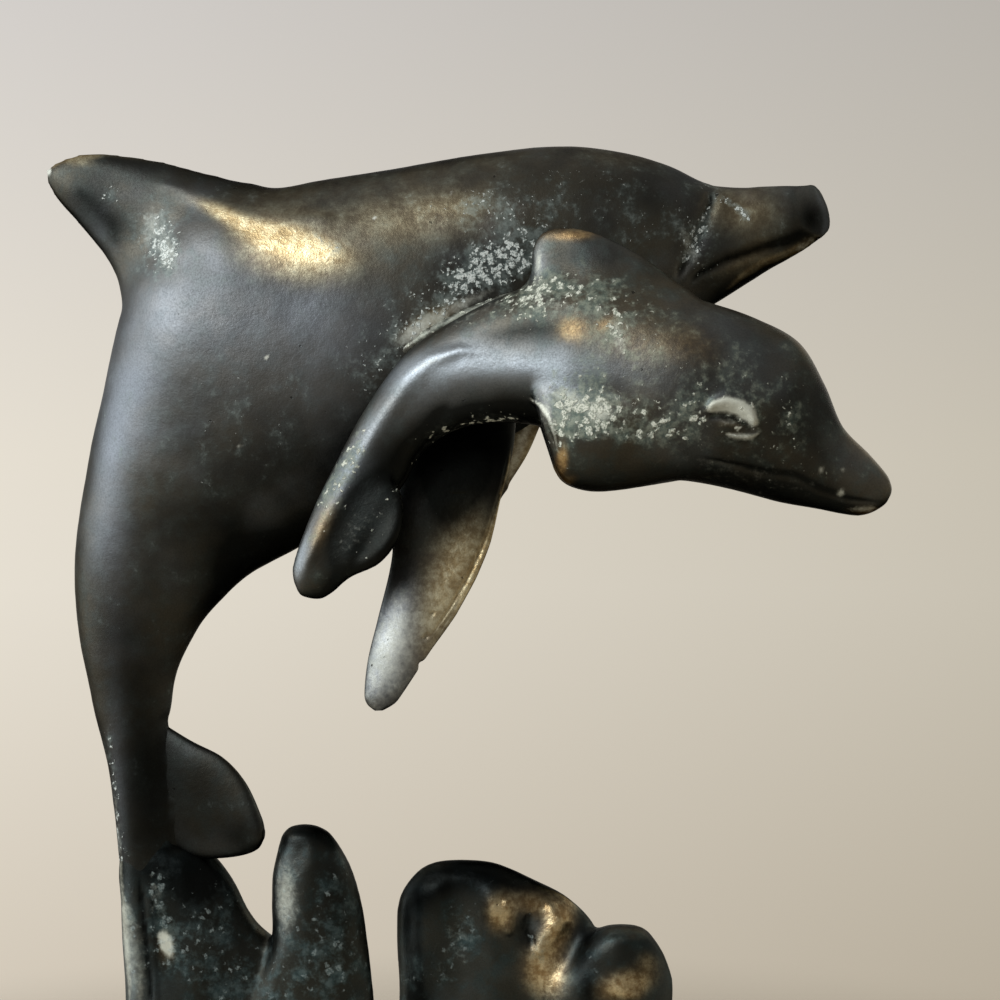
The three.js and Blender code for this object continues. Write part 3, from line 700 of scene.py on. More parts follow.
# Tongue: a loft of level sections that swell towards the foot, under a crest round like a quarter circle
def tongue(name):
    middle, top, sideways, rows = waves["tongues"][name]
    left, right, share = np.array(rows).T
    z = waves["foot"] + (top - waves["foot"]) * share
    half = waves["topHalf"] + (waves["rootHalf"] - waves["topHalf"]) * (1 - share) ** 2
    half *= np.sqrt(1.02 - (1 - np.minimum(1, (top - z) / waves["crestRound"])) ** 2)
    sections = np.stack([middle + left, z, middle + right, z, half, np.full(len(z), sideways)], 1)
    return loft(sections, None, steps=10, sides=72, power=2.2)


# Wave: its tongues as one skin, on which ridges run up where it is steep and clear of the base. They are
# value noise, read at points whose heights are squeezed
def makeWave(name, tongues, node, seed):
    shapes = [tongue(t) for t in tongues]
    if "tail" in tongues:
        shapes.append(placed(loft(waves["stub"], None, steps=8, sides=72, power=2.15)))
    joints = np.vstack([fromPhoto(pixels, waves["softMiddle"]) + [0, y, 0]
                        for pixels in waves["soft"].values() for y in waves["softDepths"]])
    piece = fuse(name, shapes, waves["voxel"], joints, *waves["softening"])

    def change(points, normals):
        squeezed = points * [1, 1, waves["streakSqueeze"]]
        ridges = waves["streaks"] * layeredNoise(squeezed, waves["streakSize"], seed, 2)
        ridges = ridges * ramp(points[:, 2], 8, 30) * ramp(-normals[:, 2], -0.6, -0.1)
        return (ridges + castSkin(points, seed + 3, 1.2) + strokes(points, normals, waves["lines"])
                + spots(points, normals, waves["forms"]))

    carve(piece, change)
    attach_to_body(piece, "root")
    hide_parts(node)


base = {
    "halfLength": 79.0,
    "halfDepth": 46.0,
    # Share of the half sizes and height in mm, from the underside up round the edge
    "rim": [[0.97, 0], [0.985, 0.15], [0.995, 0.6], [1, 1.4], [1, 3.2], [1, 5.2], [0.998, 6.2],
            [0.993, 6.75]],
    "rimHeight": 7.0,
    "swell": 13.0,  # mm that the middle stands above the rim
    "ripples": [(1.6, 5, 9), (0.35, 15, 31)],  # height in mm, count, and radians that they wind inwards
}


# Oval plate: the height over the middle is the rim plus a dome, and ripples wind round it as spirals
def makeBase():
    sides, rings = 360, 110
    angle = np.linspace(0, 2 * math.pi, sides, endpoint=False)
    rim = np.array(base["rim"])
    out = np.concatenate([rim[:, 0], np.linspace(0.985, 0.01, rings)])[:, None]
    height = base["rimHeight"] + base["swell"] * (1 - out**2) + 0 * angle
    for size, count, wind in base["ripples"]:
        height += size * np.sin(count * angle + wind * out) * np.sin(math.pi * out)
    height[: len(rim)] = rim[:, 1:]
    x = base["halfLength"] * out * np.cos(angle)
    y = base["halfDepth"] * out * np.sin(angle)
    points = np.stack([x, y, height], -1)
    flat = np.vstack([points.reshape(-1, 3), [0, 0, 0], [0, 0, height[-1].mean()]])
    quads, fans = gridFaces(len(out), sides)
    piece = newPiece("waveBase", flat, quads[:, ::-1], fans[:, ::-1])
    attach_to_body(piece, "root")
    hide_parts("wave_base")


makeAdult()
makeCalf()
makeSeam()
makeWave("tailWave", ("tail", "finger"), "wave_crest_tail", seed=40)
makeWave("sideWave", ("side", "shoulder"), "wave_crest_side", seed=60)
makeBase()
print("castings made")


# Colours are written as they look on a screen, 0 to 255, and turned into shares of light
def tone(red, green, blue):
    c = np.array([red, green, blue]) / 255
    return (*np.where(c <= 0.04045, c / 12.92, ((c + 0.055) / 1.055) ** 2.4), 1.0)


# A socket in a material: adding, subtracting and multiplying it adds the Math nodes
class Level:
    def __init__(self, finish, socket):
        self.finish = finish
        self.socket = socket

    def __add__(self, other):
        return self.finish.maths("ADD", self, other)

    def __sub__(self, other):
        return self.finish.maths("SUBTRACT", self, other)

    def __mul__(self, other):
        return self.finish.maths("MULTIPLY", self, other)

    def __rsub__(self, other):
        return self.finish.maths("SUBTRACT", other, self)

    __radd__ = __add__
    __rmul__ = __mul__

    # Smooth step from 0 at start to 1 at end, or a straight one
    def step(self, start, end, kind="SMOOTHSTEP"):
        return self.finish.node("ShaderNodeMapRange", {"interpolation_type": kind},
                                {"Value": self, "From Min": start, "From Max": end})


# A node tree: node() adds a node from its type, its settings and its sockets' values or links
class Finish:
    def __init__(self, tree):
        self.tree = tree
        tree.nodes.clear()

    def node(self, kind, settings=None, sockets=None, output=0):
        made = self.tree.nodes.new(kind)
        for name, value in (settings or {}).items():
            setattr(made, name, value)
        for name, value in (sockets or {}).items():
            if isinstance(value, Level):
                self.tree.links.new(value.socket, made.inputs[name])
            else:
                made.inputs[name].default_value = value
        return Level(self, made.outputs[output]) if len(made.outputs) else None

    def maths(self, operation, first, second):
        return self.node("ShaderNodeMath", {"operation": operation}, {0: first, 1: second})

    def blend(self, share, first, second, kind="MIX"):
        return self.node("ShaderNodeMix", {"data_type": "RGBA", "blend_type": kind},
                         {0: share, 6: first, 7: second}, 2)

    # Noise with lumps of about this size in mm, on Object coordinates
    def noise(self, where, size, detail, rough=0.55):
        return self.node("ShaderNodeTexNoise", {},
                         {"Vector": where, "Scale": 1000 / size, "Detail": detail, "Roughness": rough})

    def stored(self, name):
        return self.node("ShaderNodeAttribute", {"attribute_name": name}, output=2)


def newMaterial(name):
    material = bpy.data.materials.new(name)
    material.use_nodes = True
    return material, Finish(material.node_tree)


# Patinated brass: dark skin, a painted cool sheen, brass where it is rubbed with painted warm highlights
# on it, pale crust where water stood, pale film with painted highlights and glints, and a tone for
# painted shade.
# dots is the spacing of the crust's flecks in mm, thick how well it covers, and grain the bump's strength
patinas = {
    "adultPatina": {
        "dark": tone(60, 61, 58), "brown": tone(78, 75, 65), "paintedSheenGrey": tone(150, 157, 166),
        "shade": tone(13, 15, 14), "brass": tone(218, 191, 139), "bright": tone(255, 240, 194),
        "paleFilmAndHighlight": tone(214, 216, 204), "crust": tone(238, 243, 236), "pale": tone(142, 153, 148),
        "teal": tone(88, 102, 98), "stain": tone(74, 80, 76),
        "dots": 1.45, "thick": 0.9, "roughness": 0.44, "grain": 1.0,
    },
    "calfPatina": {
        "dark": tone(58, 59, 55), "brown": tone(86, 81, 68), "paintedSheenGrey": tone(150, 158, 164),
        "shade": tone(23, 25, 24), "brass": tone(178, 144, 96), "bright": tone(222, 188, 130),
        "paleFilmAndHighlight": tone(228, 230, 214), "crust": tone(244, 245, 228), "pale": tone(158, 166, 148),
        "teal": tone(90, 110, 100), "stain": tone(76, 86, 82),
        "dots": 2.0, "thick": 0.88, "roughness": 0.43, "grain": 1.0,
    },
    "wavePatina": {
        "dark": tone(44, 49, 47), "brown": tone(62, 63, 56), "paintedSheenGrey": tone(130, 140, 142),
        "shade": tone(16, 18, 18), "brass": tone(180, 148, 98), "bright": tone(236, 214, 166),
        "paleFilmAndHighlight": tone(220, 222, 206), "crust": tone(186, 198, 194), "pale": tone(112, 130, 128),
        "teal": tone(66, 92, 94), "stain": tone(52, 70, 72),
        "dots": 2.4, "thick": 0.34, "roughness": 0.42, "grain": 1.2,
    },
}


# The five stored masks, broken up by noise of four sizes, lay one colour over another: stain, painted
# cool sheen, rubbed brass with painted warm highlights, dark specks, verdigris haze, painted shade, pale
# film with painted highlights and glints, crust and casting pits
def patina(name, look):
    material, f = newMaterial(name)
    where = f.node("ShaderNodeTexCoord", output=3)
    broad = f.noise(where, 22, 3)
    mottle = f.noise(where, 5, 5, 0.62)
    fine = f.noise(where, 1.5, 4, 0.65)
    speck = f.noise(where, 0.42, 2)
    swirl = f.node("ShaderNodeTexNoise", {}, {"Vector": where, "Scale": 700.0, "Detail": 3.0}, 1)
    bend = (2.6 * mm,) * 3  # how far the swirl carries the crust's flecks, out of round
    bent = f.node("ShaderNodeVectorMath", {"operation": "MULTIPLY_ADD"}, {0: swirl, 1: bend, 2: where})
    dots = f.node("ShaderNodeTexVoronoi", {}, {"Vector": bent, "Scale": 1000 / look["dots"]})
    rubbed, crusted, shaded, cooled, filmed = (
        f.stored(word) for word in ("rubbed", "crusted", "shaded", "cooled", "filmed"))
    # rubbed brass; its strongest spots also paint warm highlights
    rubbedGoldAndHighlight = (rubbed * (1 + (mottle - 0.5) * 0.8 + (fine - 0.5) * 0.6)).step(0.02, 1.0)
    uneven = (mottle - 0.5) * 0.6 + (fine - 0.5) * 1.1 + (speck - 0.5) * 0.6 + (0.42 - dots) * 3.0
    crust = (crusted * 2 + uneven - 1.3).step(0, 0.62)
    haze = (crusted * 1.3 + (mottle - 0.5) * 2.6 + (fine - 0.5) * 1.8 - 0.34).step(0, 0.9)
    # pale film of crust, which in places also paints highlights and glints
    paleFilmAndHighlight = (filmed * (1 + (mottle - 0.5) * 0.8) + (fine - 0.5) * 0.5).step(0.1, 0.75)
    pits = (f.noise(where, 1.9, 1) + (speck - 0.5) * 0.12).step(0.79, 0.84)
    colour = f.blend(broad.step(0.36, 0.64), look["dark"], look["brown"])
    colour = f.blend(mottle.step(0.42, 0.66) * 0.6, colour, look["stain"])
    # painted cool sheen: pale grey-blue laid where the lamps' highlight falls
    colour = f.blend(cooled * 0.9, colour, look["paintedSheenGrey"])
    # near-white brass in patches paints sparkling highlights on the rubbed brass
    metal = f.blend((mottle + fine).step(0.8, 1.2), look["brass"], look["bright"])
    colour = f.blend(rubbedGoldAndHighlight * 0.9, colour, metal)
    colour = f.blend(speck.step(0.4, 0.66) * 0.16, colour, tone(22, 22, 20))
    colour = f.blend(haze * 0.55, colour, f.blend(fine.step(0.34, 0.66), look["teal"], look["pale"]))
    # painted shade: darker underneath, in hollows and where shadows fall
    colour = f.blend(shaded * 0.92, colour, look["shade"])
    colour = f.blend(paleFilmAndHighlight * 0.9, colour, look["paleFilmAndHighlight"])
    flecks = f.blend(speck.step(0.35, 0.6), look["pale"], look["crust"])
    colour = f.blend(crust * look["thick"], colour, flecks)
    colour = f.blend(pits * 0.7, colour, tone(14, 13, 11))
    rough = (look["roughness"] + (mottle - 0.5) * 0.3 + (speck - 0.5) * 0.2 + crust * 0.4 - rubbedGoldAndHighlight * 0.08
             + haze * 0.15 + paleFilmAndHighlight * 0.15 + pits * 0.2)
    height = (mottle * 0.08 + fine * 0.07 + speck * (0.02 + rubbedGoldAndHighlight * 0.03) + crust * 0.12 * look["thick"]
              - pits * 0.12) * look["grain"]
    bump = f.node("ShaderNodeBump", {}, {"Strength": 1.0, "Distance": mm, "Height": height})
    shader = f.node("ShaderNodeBsdfPrincipled", {}, {
        "Base Color": colour, "Roughness": rough, "Normal": bump, "Specular Tint": tone(150, 150, 150),
        "Metallic": (1 - crust * 0.9) * (1 - paleFilmAndHighlight * 0.7) * (1 - haze * 0.4),
        "Coat Weight": (1 - shaded) * (1 - crust) * 0.22, "Coat Roughness": 0.4,
    })
    f.node("ShaderNodeOutputMaterial", {}, {"Surface": shader})
    return material


# Where each casting is rubbed or given painted warm highlights, crusted, filmed or given painted
# highlights and glints, given a painted cool sheen, or given painted shade, in rows for spots() and
# strokes()
wearAndPaintedLight = {
    "adult": {
        "rubbedSpots": [
            # the first spots paint the warm highlight on the shoulder as rubbed brass
            ((288, 242), -15, 10, 2.8, -18, 1.2), ((225, 214), -12, 8, 1.8, -28, 0.75),
            ((310, 255), -15, 13, 6, -12, 0.4), ((400, 225), -15, 24, 6, -4, 0.28),
            ((280, 266), -16, 14, 5, -18, 0.2), ((430, 322), -18, 8, 2.6, 30, 0.5),
            ((80, 162), -3, 4, 1.2, -5, 0.25, "both"), ((455, 205), -14, 12, 4, 0, 0.25),
            ((745, 262), -10, 8, 3, 30, 0.3, "both"), ((804, 245), -8, 3.2, 1.2, 30, 0.9),
            ((742, 212), -10, 10, 6, 0, 0.36), ((460, 560), -25, 7, 13, -20, 0.7),
            ((432, 625), -26, 5, 12, -20, 0.4), ((300, 230), 15, 26, 6, -8, 0.4, "far"),
            ((520, 200), 15, 26, 6, -4, 0.3, "far"), ((440, 590), 26, 6, 20, -18, 0.5, "far"),
        ],
        "rubbedLines": [
            ([(824, 240), (790, 253), (762, 264), (740, 278), (724, 292)], -9, 0.8, 0.7, "both"),
            ([(512, 440), (508, 470), (498, 510), (486, 545), (470, 582), (452, 618)],
             -25, 0.6, 0.5, "both"),
            ([(50, 170), (62, 160), (80, 157), (105, 158)], 0, 1.0, 0.4, "both"),
        ],
        "crustedSpots": [
            ((158, 234), -9, 6.2, 7.4, 12, 0.62), ((170, 256), -9, 4, 6, 8, 0.7),
            ((440, 305), -18, 14, 4, 28, 0.3), ((510, 256), -17, 11, 6.6, 20, 0.78),
            ((468, 274), -17, 10, 5.6, 25, 0.6), ((414, 334), -18, 8, 3.4, 35, 0.6),
            ((110, 194), -5, 3, 2.6, 0, 0.75), ((694, 238), -11, 4, 9, 20, 0.42),
            ((735, 210), -9, 6, 1.6, -35, 0.55), ((375, 375), -19, 6, 11, 30, 0.42),
            ((490, 210), -14, 22, 5, 0, 0.36), ((250, 420), -17, 14, 12, 0, 0.2),
            ((385, 655), -27, 3, 10, -20, 0.3), ((330, 245), -15, 6, 2.4, -30, 0.4),
            ((600, 180), -12, 20, 4, 0, 0.26), ((150, 880), -6, 8, 6, 0, 0.4),
            ((640, 230), -15, 10, 8, 0, 0.26), ((160, 240), 9, 9, 10, 30, 0.3, "far"),
            ((460, 300), 18, 24, 8, 5, 0.35, "far"),
        ],
        "crustedLines": [
            ([(709, 206), (702, 228), (690, 250), (670, 272)], -12, 2.0, 0.4, "both"),
            ([(722, 196), (738, 208), (752, 224)], -10, 0.8, 0.5),
            ([(104, 700), (112, 760), (119, 850), (127, 990)], -5, 1.4, 0.55),
        ],
        "filmedSpots": [
            # pale film; some spots paint glints and highlights, as at the dorsal fin's tip and the near
            # fin's pale lower end
            ((414, 333), -18, 5, 2.0, 35, 0.6), ((393, 652), -27, 6, 14, -18, 0.5),
            ((446, 313), -18, 8, 1.8, 28, 0.34), ((476, 299), -18, 6, 1.2, 26, 0.28),
            ((152, 226), -9, 3.6, 5, 20, 0.32), ((170, 256), -9, 2.2, 4.4, 8, 0.4),
            ((268, 359), -17, 0.6, 0.5, 0, 0.9), ((241, 447), -16, 0.5, 0.5, 0, 0.8),
            ((375, 219), -15, 0.5, 0.5, 0, 0.8), ((452, 194), -13, 0.5, 0.4, 0, 0.8),
            ((47, 171), -1, 0.9, 1.0, 0, 1.2), ((804, 245), -8, 3.2, 1.2, 30, 0.3),
            ((455, 575), -26, 7, 15, -20, 0.16), ((688, 247), -11, 2.0, 6, 24, 0.3),
        ],
        "filmedLines": [
            ([(113, 780), (117, 830), (121, 880), (126, 960)], -5, 1.0, 0.26),
        ],
        # painted highlight along the rim of the beak's end, and painted cool sheen where the lamps'
        # highlight falls
        "cooledLines": [([(818, 188), (826, 206), (828, 222), (822, 236)], -7, 0.9, 0.2)],
        "cooledSpots": [
            ((150, 360), -12, 8, 24, -12, 0.15), ((134, 388), -11, 6, 12, -8, 0.3),
            ((110, 470), -10, 5, 30, 0, 0.45), ((230, 320), -15, 22, 13, 0, 0.22),
            ((118, 820), -5, 2.4, 40, 0, 0.4), ((330, 330), -17, 14, 8, 0, 0.22),
            ((392, 655), -27, 6, 14, -15, 0.55), ((300, 380), -18, 30, 20, 0, 0.15, "both"),
            ((150, 330), 12, 9, 26, -12, 0.5, "far"),
        ],
        # painted shade and painted shadows, such as the small dolphin's shadow on the near fin and the
        # dark end of the beak
        "shadedSpots": [
            ((400, 440), -19, 34, 14, 20, 0.6), ((250, 560), -10, 12, 14, 40, 0.55),
            ((470, 470), -21, 11, 11, 0, 0.9), ((180, 770), -8, 14, 14, 0, 0.6, "both"),
            ((812, 217), -8, 5.0, 6.4, -20, 0.72, "both"), ((620, 190), -16, 30, 5, -8, 0.3),
            ((809, 219), -8, 3.2, 4.0, -20, 0.2, "both"), ((495, 262), -17, 13, 6, 20, 0.5),
            ((455, 512), -25, 6, 11, -20, 0.3), ((220, 810), -12, 14, 16, 0, 0.42, "both"),
            ((96, 200), -5, 13, 9, -35, 0.42), ((132, 740), -8, 7, 30, 0, 0.55),
            ((440, 500), -25, 7, 13, 0, 0.5), ((150, 850), -8, 14, 10, 0, 0.5),
            ((230, 190), -8, 26, 4, -12, 0.3), ((124, 226), -6, 4, 7, 30, 0.4),
            ((80, 178), -4, 7, 5, -25, 0.25), ((240, 838), -10, 6, 5, 0, 0.45, "both"),
            ((120, 640), -8, 8, 16, 0, 0.4), ((760, 270), -9, 12, 3, 28, 0.4),
        ],
        "shadedLines": [
            ([(716, 184), (712, 200), (707, 215), (700, 235), (690, 255), (676, 282)],
             -12, 1.0, 0.4, "both"),
            ([(822, 232), (796, 240), (770, 247), (725, 262), (700, 275), (684, 288)],
             -10, 0.9, 0.7, "both"),
            ([(72, 186), (92, 204), (110, 224), (120, 250)], -4, 2.6, 0.4, "both"),
            ([(52, 158), (90, 154), (160, 162), (240, 180), (300, 182), (400, 164), (520, 148)],
             -8, 3.0, 0.5, "both"),
        ],
    },
    "calf": {
        "rubbedSpots": [
            # the first spot paints the warm highlight on the shoulder as rubbed brass
            ((571, 328), -45, 3.4, 2.8, 0, 0.45), ((561, 466), -48, 1.2, 3.6, -8, 1.5),
            ((568, 481), -48, 1.8, 1.0, 20, 1.0), ((606, 324), -45, 2.4, 1.6, 20, 0.3),
            ((732, 424), -50, 3.8, 1.5, -12, 0.2), ((572, 236), -34, 5, 1.3, 0, 0.7, "both"),
            ((326, 526), -31, 2.4, 7, -25, 0.45), ((865, 511), -42, 4, 1.0, 0, 0.9, "both"),
            ((625, 345), -46, 14, 6, -18, 0.2), ((690, 345), -46, 10, 5, -25, 0.22),
            ((640, 400), -48, 14, 6, -10, 0.12), ((620, 320), -20, 20, 6, -18, 0.4, "far"),
        ],
        "crustedSpots": [
            ((586, 405), -47, 9, 4.8, -12, 0.95), ((600, 300), -44, 12, 6, -10, 0.5),
            ((535, 305), -40, 5, 6, 0, 0.5), ((640, 420), -49, 10, 4, 0, 0.36),
            ((690, 420), -50, 4, 5, 0, 0.46), ((650, 345), -47, 14, 9, 0, 0.16),
            ((566, 478), -48, 1.6, 1.8, 0, 0.6), ((730, 418), -50, 12, 8, 0, 0.2),
            ((560, 430), -46, 3.4, 6, 0, 0.5), ((700, 375), -48, 12, 6, 0, 0.16),
            ((610, 435), -47, 10, 2.4, 0, 0.4), ((658, 430), -49, 4, 5, 0, 0.3),
            ((560, 285), -38, 8, 3, 0, 0.4), ((340, 490), -31, 3.4, 13, -28, 0.4),
            ((618, 335), -46, 2.4, 6, 15, 0.5), ((500, 308), -32, 12, 3, 25, 0.42),
            ((835, 476), -43, 5, 1.4, 0, 0.3), ((370, 540), -33, 5, 10, -25, 0.22),
            ((470, 430), -34, 12, 4, 25, 0.36), ((765, 395), -47, 12, 9, 0, 0.25),
            ((790, 450), -44, 9, 7, -40, 0.26), ((720, 448), -48, 8, 2.4, -8, 0.2),
            ((560, 410), -24, 10, 5, -8, 0.45, "far"), ((620, 300), -24, 16, 8, 0, 0.35, "far"),
        ],
        "crustedLines": [
            ([(410, 470), (385, 510), (372, 545)], -33, 1.4, 0.25),
            ([(400, 445), (425, 432), (450, 428), (490, 420), (525, 418)], -34, 1.6, 0.4),
            ([(316, 512), (332, 482), (350, 452), (368, 420)], -31, 2.2, 0.38),
        ],
        "filmedSpots": [
            # pale film; some spots paint highlights, as along the tail stock's ridge
            ((574, 399), -47, 6, 2.4, -16, 0.36), ((602, 415), -47, 3.4, 2.4, 0, 0.42),
            ((537, 300), -38, 1.6, 5, 0, 0.25), ((617, 336), -46, 1.4, 5, 15, 0.36),
            ((560, 305), -40, 5, 2, -20, 0.25), ((728, 423), -50, 3.2, 1.0, -10, 0.27),
            ((818, 470), -43, 0.9, 0.9, 0, 0.4), ((838, 493), -42, 0.8, 0.8, 0, 0.45),
            ((840, 470), -43, 0.7, 0.7, 0, 0.4), ((740, 472), -46, 26, 3.6, -12, 0.14),
            ((430, 364), -31, 7, 0.8, 22, 0.3), ((352, 538), -33, 4.6, 11, -25, 0.11),
            ((862, 509), -42, 3.2, 0.8, 0, 0.34), ((480, 312), -31, 10, 1.6, 26, 0.22),
            ((538, 262), -34, 1.0, 3.4, 0, 0.4), ((545, 412), -46, 1.6, 2.6, 0, 0.3),
        ],
        "filmedLines": [
            # the pale upper lid, painted glints on the lower lid and in the eye, and a pale line by the
            # pectoral fin
            ([(704, 411), (714, 407), (726, 405), (738, 408), (748, 415), (756, 428)],
             -50, 1.55, 1.2, "both"),
            ([(722, 433), (738, 437), (750, 437), (761, 432)], -50, 0.8, 0.5, "both"),
            ([(733, 427), (737, 429), (741, 428)], -50, 0.28, 0.8, "both"),
            ([(526, 394), (540, 405), (549, 419), (555, 438), (558, 454)], -44, 0.45, 0.42),
        ],
        # painted cool sheen where the lamps' highlight falls, as on the tail stock's ridge
        "cooledSpots": [
            ((430, 365), -30, 13, 3.4, 15, 0.9), ((352, 465), -31, 3.4, 15, -30, 0.7),
            ((536, 266), -34, 2.0, 5, 0, 0.4), ((510, 372), -38, 13, 4.2, -4, 0.6),
            ((852, 462), -42, 8, 6, -35, 0.16), ((302, 556), -31, 1.6, 8, -12, 0.65),
            ((440, 400), -32, 10, 6, 30, 0.6), ((620, 380), -46, 14, 6, 0, 0.25),
            ((730, 330), -46, 10, 5, -30, 0.25),
        ],
        # painted shade, darkest on the fluke beside the near fin
        "shadedSpots": [
            ((800, 490), -43, 17, 4, -20, 0.2, "both"), ((430, 465), -33, 8, 11, -35, 0.8),
            ((500, 412), -34, 11, 2.6, 0, 0.6), ((515, 341), -35, 15, 3, 5, 0.5),
            ((815, 420), -42, 7, 9, 0, 0.45), ((370, 550), -33, 7, 9, -25, 0.75),
            ((733, 420), -50, 3.4, 0.9, -14, 0.4, "both"), ((355, 540), -32, 8, 12, -25, 0.55),
            ((570, 262), -38, 6, 5, 0, 0.3), ((383, 520), -33, 9, 15, -10, 1.1),
            ((350, 520), -33, 4, 12, -25, 0.5), ((525, 328), -36, 14, 2.8, 4, 0.5),
            ((580, 258), -36, 6, 4, 0, 0.4), ((760, 345), -42, 14, 5, -35, 0.35),
        ],
        "shadedLines": [
            ([(706, 419), (722, 418), (737, 421), (750, 431)], -50, 0.7, 0.5, "both"),
            ([(735, 466), (765, 473), (795, 477), (820, 490), (850, 500), (884, 503)],
             -47, 0.9, 0.3, "both"),
        ],
    },
    "seam": {"crustedSpots": [((470, 320), -20, 40, 20, 25, 0.6, "both")],
             "filmedSpots": [((470, 320), -20, 40, 20, 25, 0.3, "both")]},
    "farFin": {
        "rubbedSpots": [
            ((528, 452), 22, 5, 12, -25, 0.6, "both"), ((440, 590), 26, 6, 20, -18, 0.5, "far"),
        ],
        "filmedSpots": [((520, 448), 20, 1.6, 10, -20, 0.4, "both")],
    },
    "base": {"crustedSpots": [((500, 1080), -20, 60, 20, 0, 0.2, "both")]},
    "tailWave": {
        "rubbedSpots": [((166, 946), -7, 2.6, 4.5, 0, 0.4)],
        "crustedSpots": [
            ((166, 946), -7, 3.4, 5.2, 0, 0.7), ((158, 895), -7, 2.4, 9, 0, 0.75),
            ((205, 930), -7, 9, 12, 0, 0.58), ((325, 960), -10, 11, 12, 0, 0.62),
            ((288, 895), -9, 2.6, 10, 0, 0.5), ((335, 880), -8, 5, 8, 0, 0.4),
            ((250, 985), -8, 10, 5, 0, 0.45),
        ],
        "crustedLines": [([(127, 880), (131, 940), (135, 1005)], -6, 2.4, 0.55)],
        "filmedSpots": [
            # pale film; the largest spot paints the lit left face of the finger
            ((162, 938), -7, 1.1, 1.7, 15, 0.8), ((166, 945), -7, 1.2, 1.9, -20, 1.0),
            ((169, 952), -7, 1.0, 1.7, 10, 0.8), ((286, 899), -9, 3.0, 9, 0, 0.44),
        ],
        "filmedLines": [
            ([(126, 895), (133, 945), (141, 1010)], -6, 2.4, 0.3),
            ([(152, 866), (154, 892), (160, 925)], -7, 1.8, 0.18),
            ([(115, 820), (119, 862), (122, 900), (127, 960), (131, 1020)], -5, 0.9, 0.34),
        ],
        # painted cool sheen on the wave's lit left side
        "cooledSpots": [
            ((130, 965), -5, 3, 15, 4, 0.9), ((285, 897), -9, 3.6, 12, 0, 0.4),
        ],
        "shadedSpots": [
            ((310, 838), -9, 8, 3.6, 0, 0.36), ((230, 960), -8, 12, 18, 0, 0.7),
            ((330, 900), -9, 8, 20, 0, 0.55), ((160, 868), -8, 16, 9, 0, 0.8),
            ((195, 885), -8, 8, 10, -25, 0.6),
        ],
        "shadedLines": [
            ([(138, 878), (143, 925), (147, 970), (151, 1010)], -7, 0.9, 0.9),
            ([(152, 890), (154, 940), (158, 1010)], -7, 1.2, 0.6),
            ([(138, 866), (150, 866), (170, 850)], -7, 1.8, 0.8),
            ([(283, 850), (292, 834), (308, 828), (324, 834), (338, 856)], -8, 2.2, 0.45, "both"),
        ],
    },
    "sideWave": {
        "rubbedSpots": [
            ((500, 915), 8, 3.4, 4.4, 0, 0.95), ((535, 905), 8, 6, 3, -12, 0.85),
            ((560, 928), 8, 3.6, 5.4, -20, 0.95), ((544, 972), 8, 5, 6.4, 0, 0.95),
            ((624, 986), 6, 7, 3.4, 15, 0.95), ((648, 962), 6, 3, 2.4, -30, 0.35),
        ],
        "crustedSpots": [
            ((458, 945), 9, 5, 13, -15, 0.6), ((534, 945), 8, 6, 7, 0, 0.3),
            ((408, 985), 9, 4, 8, 0, 0.5), ((592, 960), 8, 3, 10, 0, 0.4),
        ],
        "filmedSpots": [((456, 945), 9, 5, 9, -15, 0.16)],
        # painted cool sheen on the wave's lit left edge
        "cooledSpots": [((410, 930), 12, 2.4, 16, 0, 0.5)],
        "shadedSpots": [
            ((440, 890), 9, 14, 8, 0, 0.45), ((520, 876), 9, 16, 3.4, -18, 0.6),
            ((525, 940), 8, 2.4, 3.4, 0, 0.7), ((590, 1000), 6, 3, 6, 0, 0.5),
            ((585, 955), 8, 4, 14, 0, 0.8), ((650, 950), 6, 6, 8, 0, 0.5),
        ],
        "shadedLines": [
            ([(402, 960), (406, 914), (430, 884), (460, 876), (500, 880), (540, 894), (580, 912)],
             11, 4.6, 0.72, "both"),
        ],
    },
}


# Strengths of what every casting gets beside its table: gold on edges and on top, crust in hollows and in
# patches, the cool grey of the painted sheen in random drifts, and painted shade underneath and in
# hollows
wearAndPaintedLightEverywhere = {
    "edgeGold": 0.3, "topGold": 0.16, "hollowCrust": 0.35, "patchCrust": 0.16, "driftCool": 0.15,
    "underShade": 0.85, "hollowShade": 0.5,
}


# Fills the five masks of a piece from its table, its curvature, the way it faces, and value noise
def dress(piece, table, seed):
    points, normals, edges = pointsOf(piece.data), normalsOf(piece.data), edgesOf(piece.data)
    share = wearAndPaintedLightEverywhere
    bend = curvature(points, normals, edges)
    drift = layeredNoise(points, 16, seed, 3)
    patch = layeredNoise(points, 9, seed + 5, 3)
    up = normals[:, 2]

    def placedMarks(word):
        return (spots(points, normals, table.get(word + "Spots", []))
                + strokes(points, normals, table.get(word + "Lines", [])))

    marks = {
        "rubbed": share["edgeGold"] * ramp(bend, 0.08, 0.3) * np.clip(0.5 + 0.5 * patch, 0, 1)
        + share["topGold"] * ramp(up + 0.4 * drift, 0.3, 1.1),
        "crusted": share["hollowCrust"] * ramp(-bend, 0.06, 0.3)
        + share["patchCrust"] * ramp(patch + 0.3 * drift, 0.35, 1.1),
        # grey of the painted cool sheen, in random drifts
        "cooled": share["driftCool"] * ramp(-drift, 0.0, 0.8),
        "filmed": 0.0,
        # painted shade under downward faces and in hollows
        "shaded": share["underShade"] * ramp(-up + 0.12 * drift, 0.05, 0.75)
        + share["hollowShade"] * ramp(-bend, 0.1, 0.4),
    }
    for word, values in marks.items():
        attach(piece, word, values + placedMarks(word))


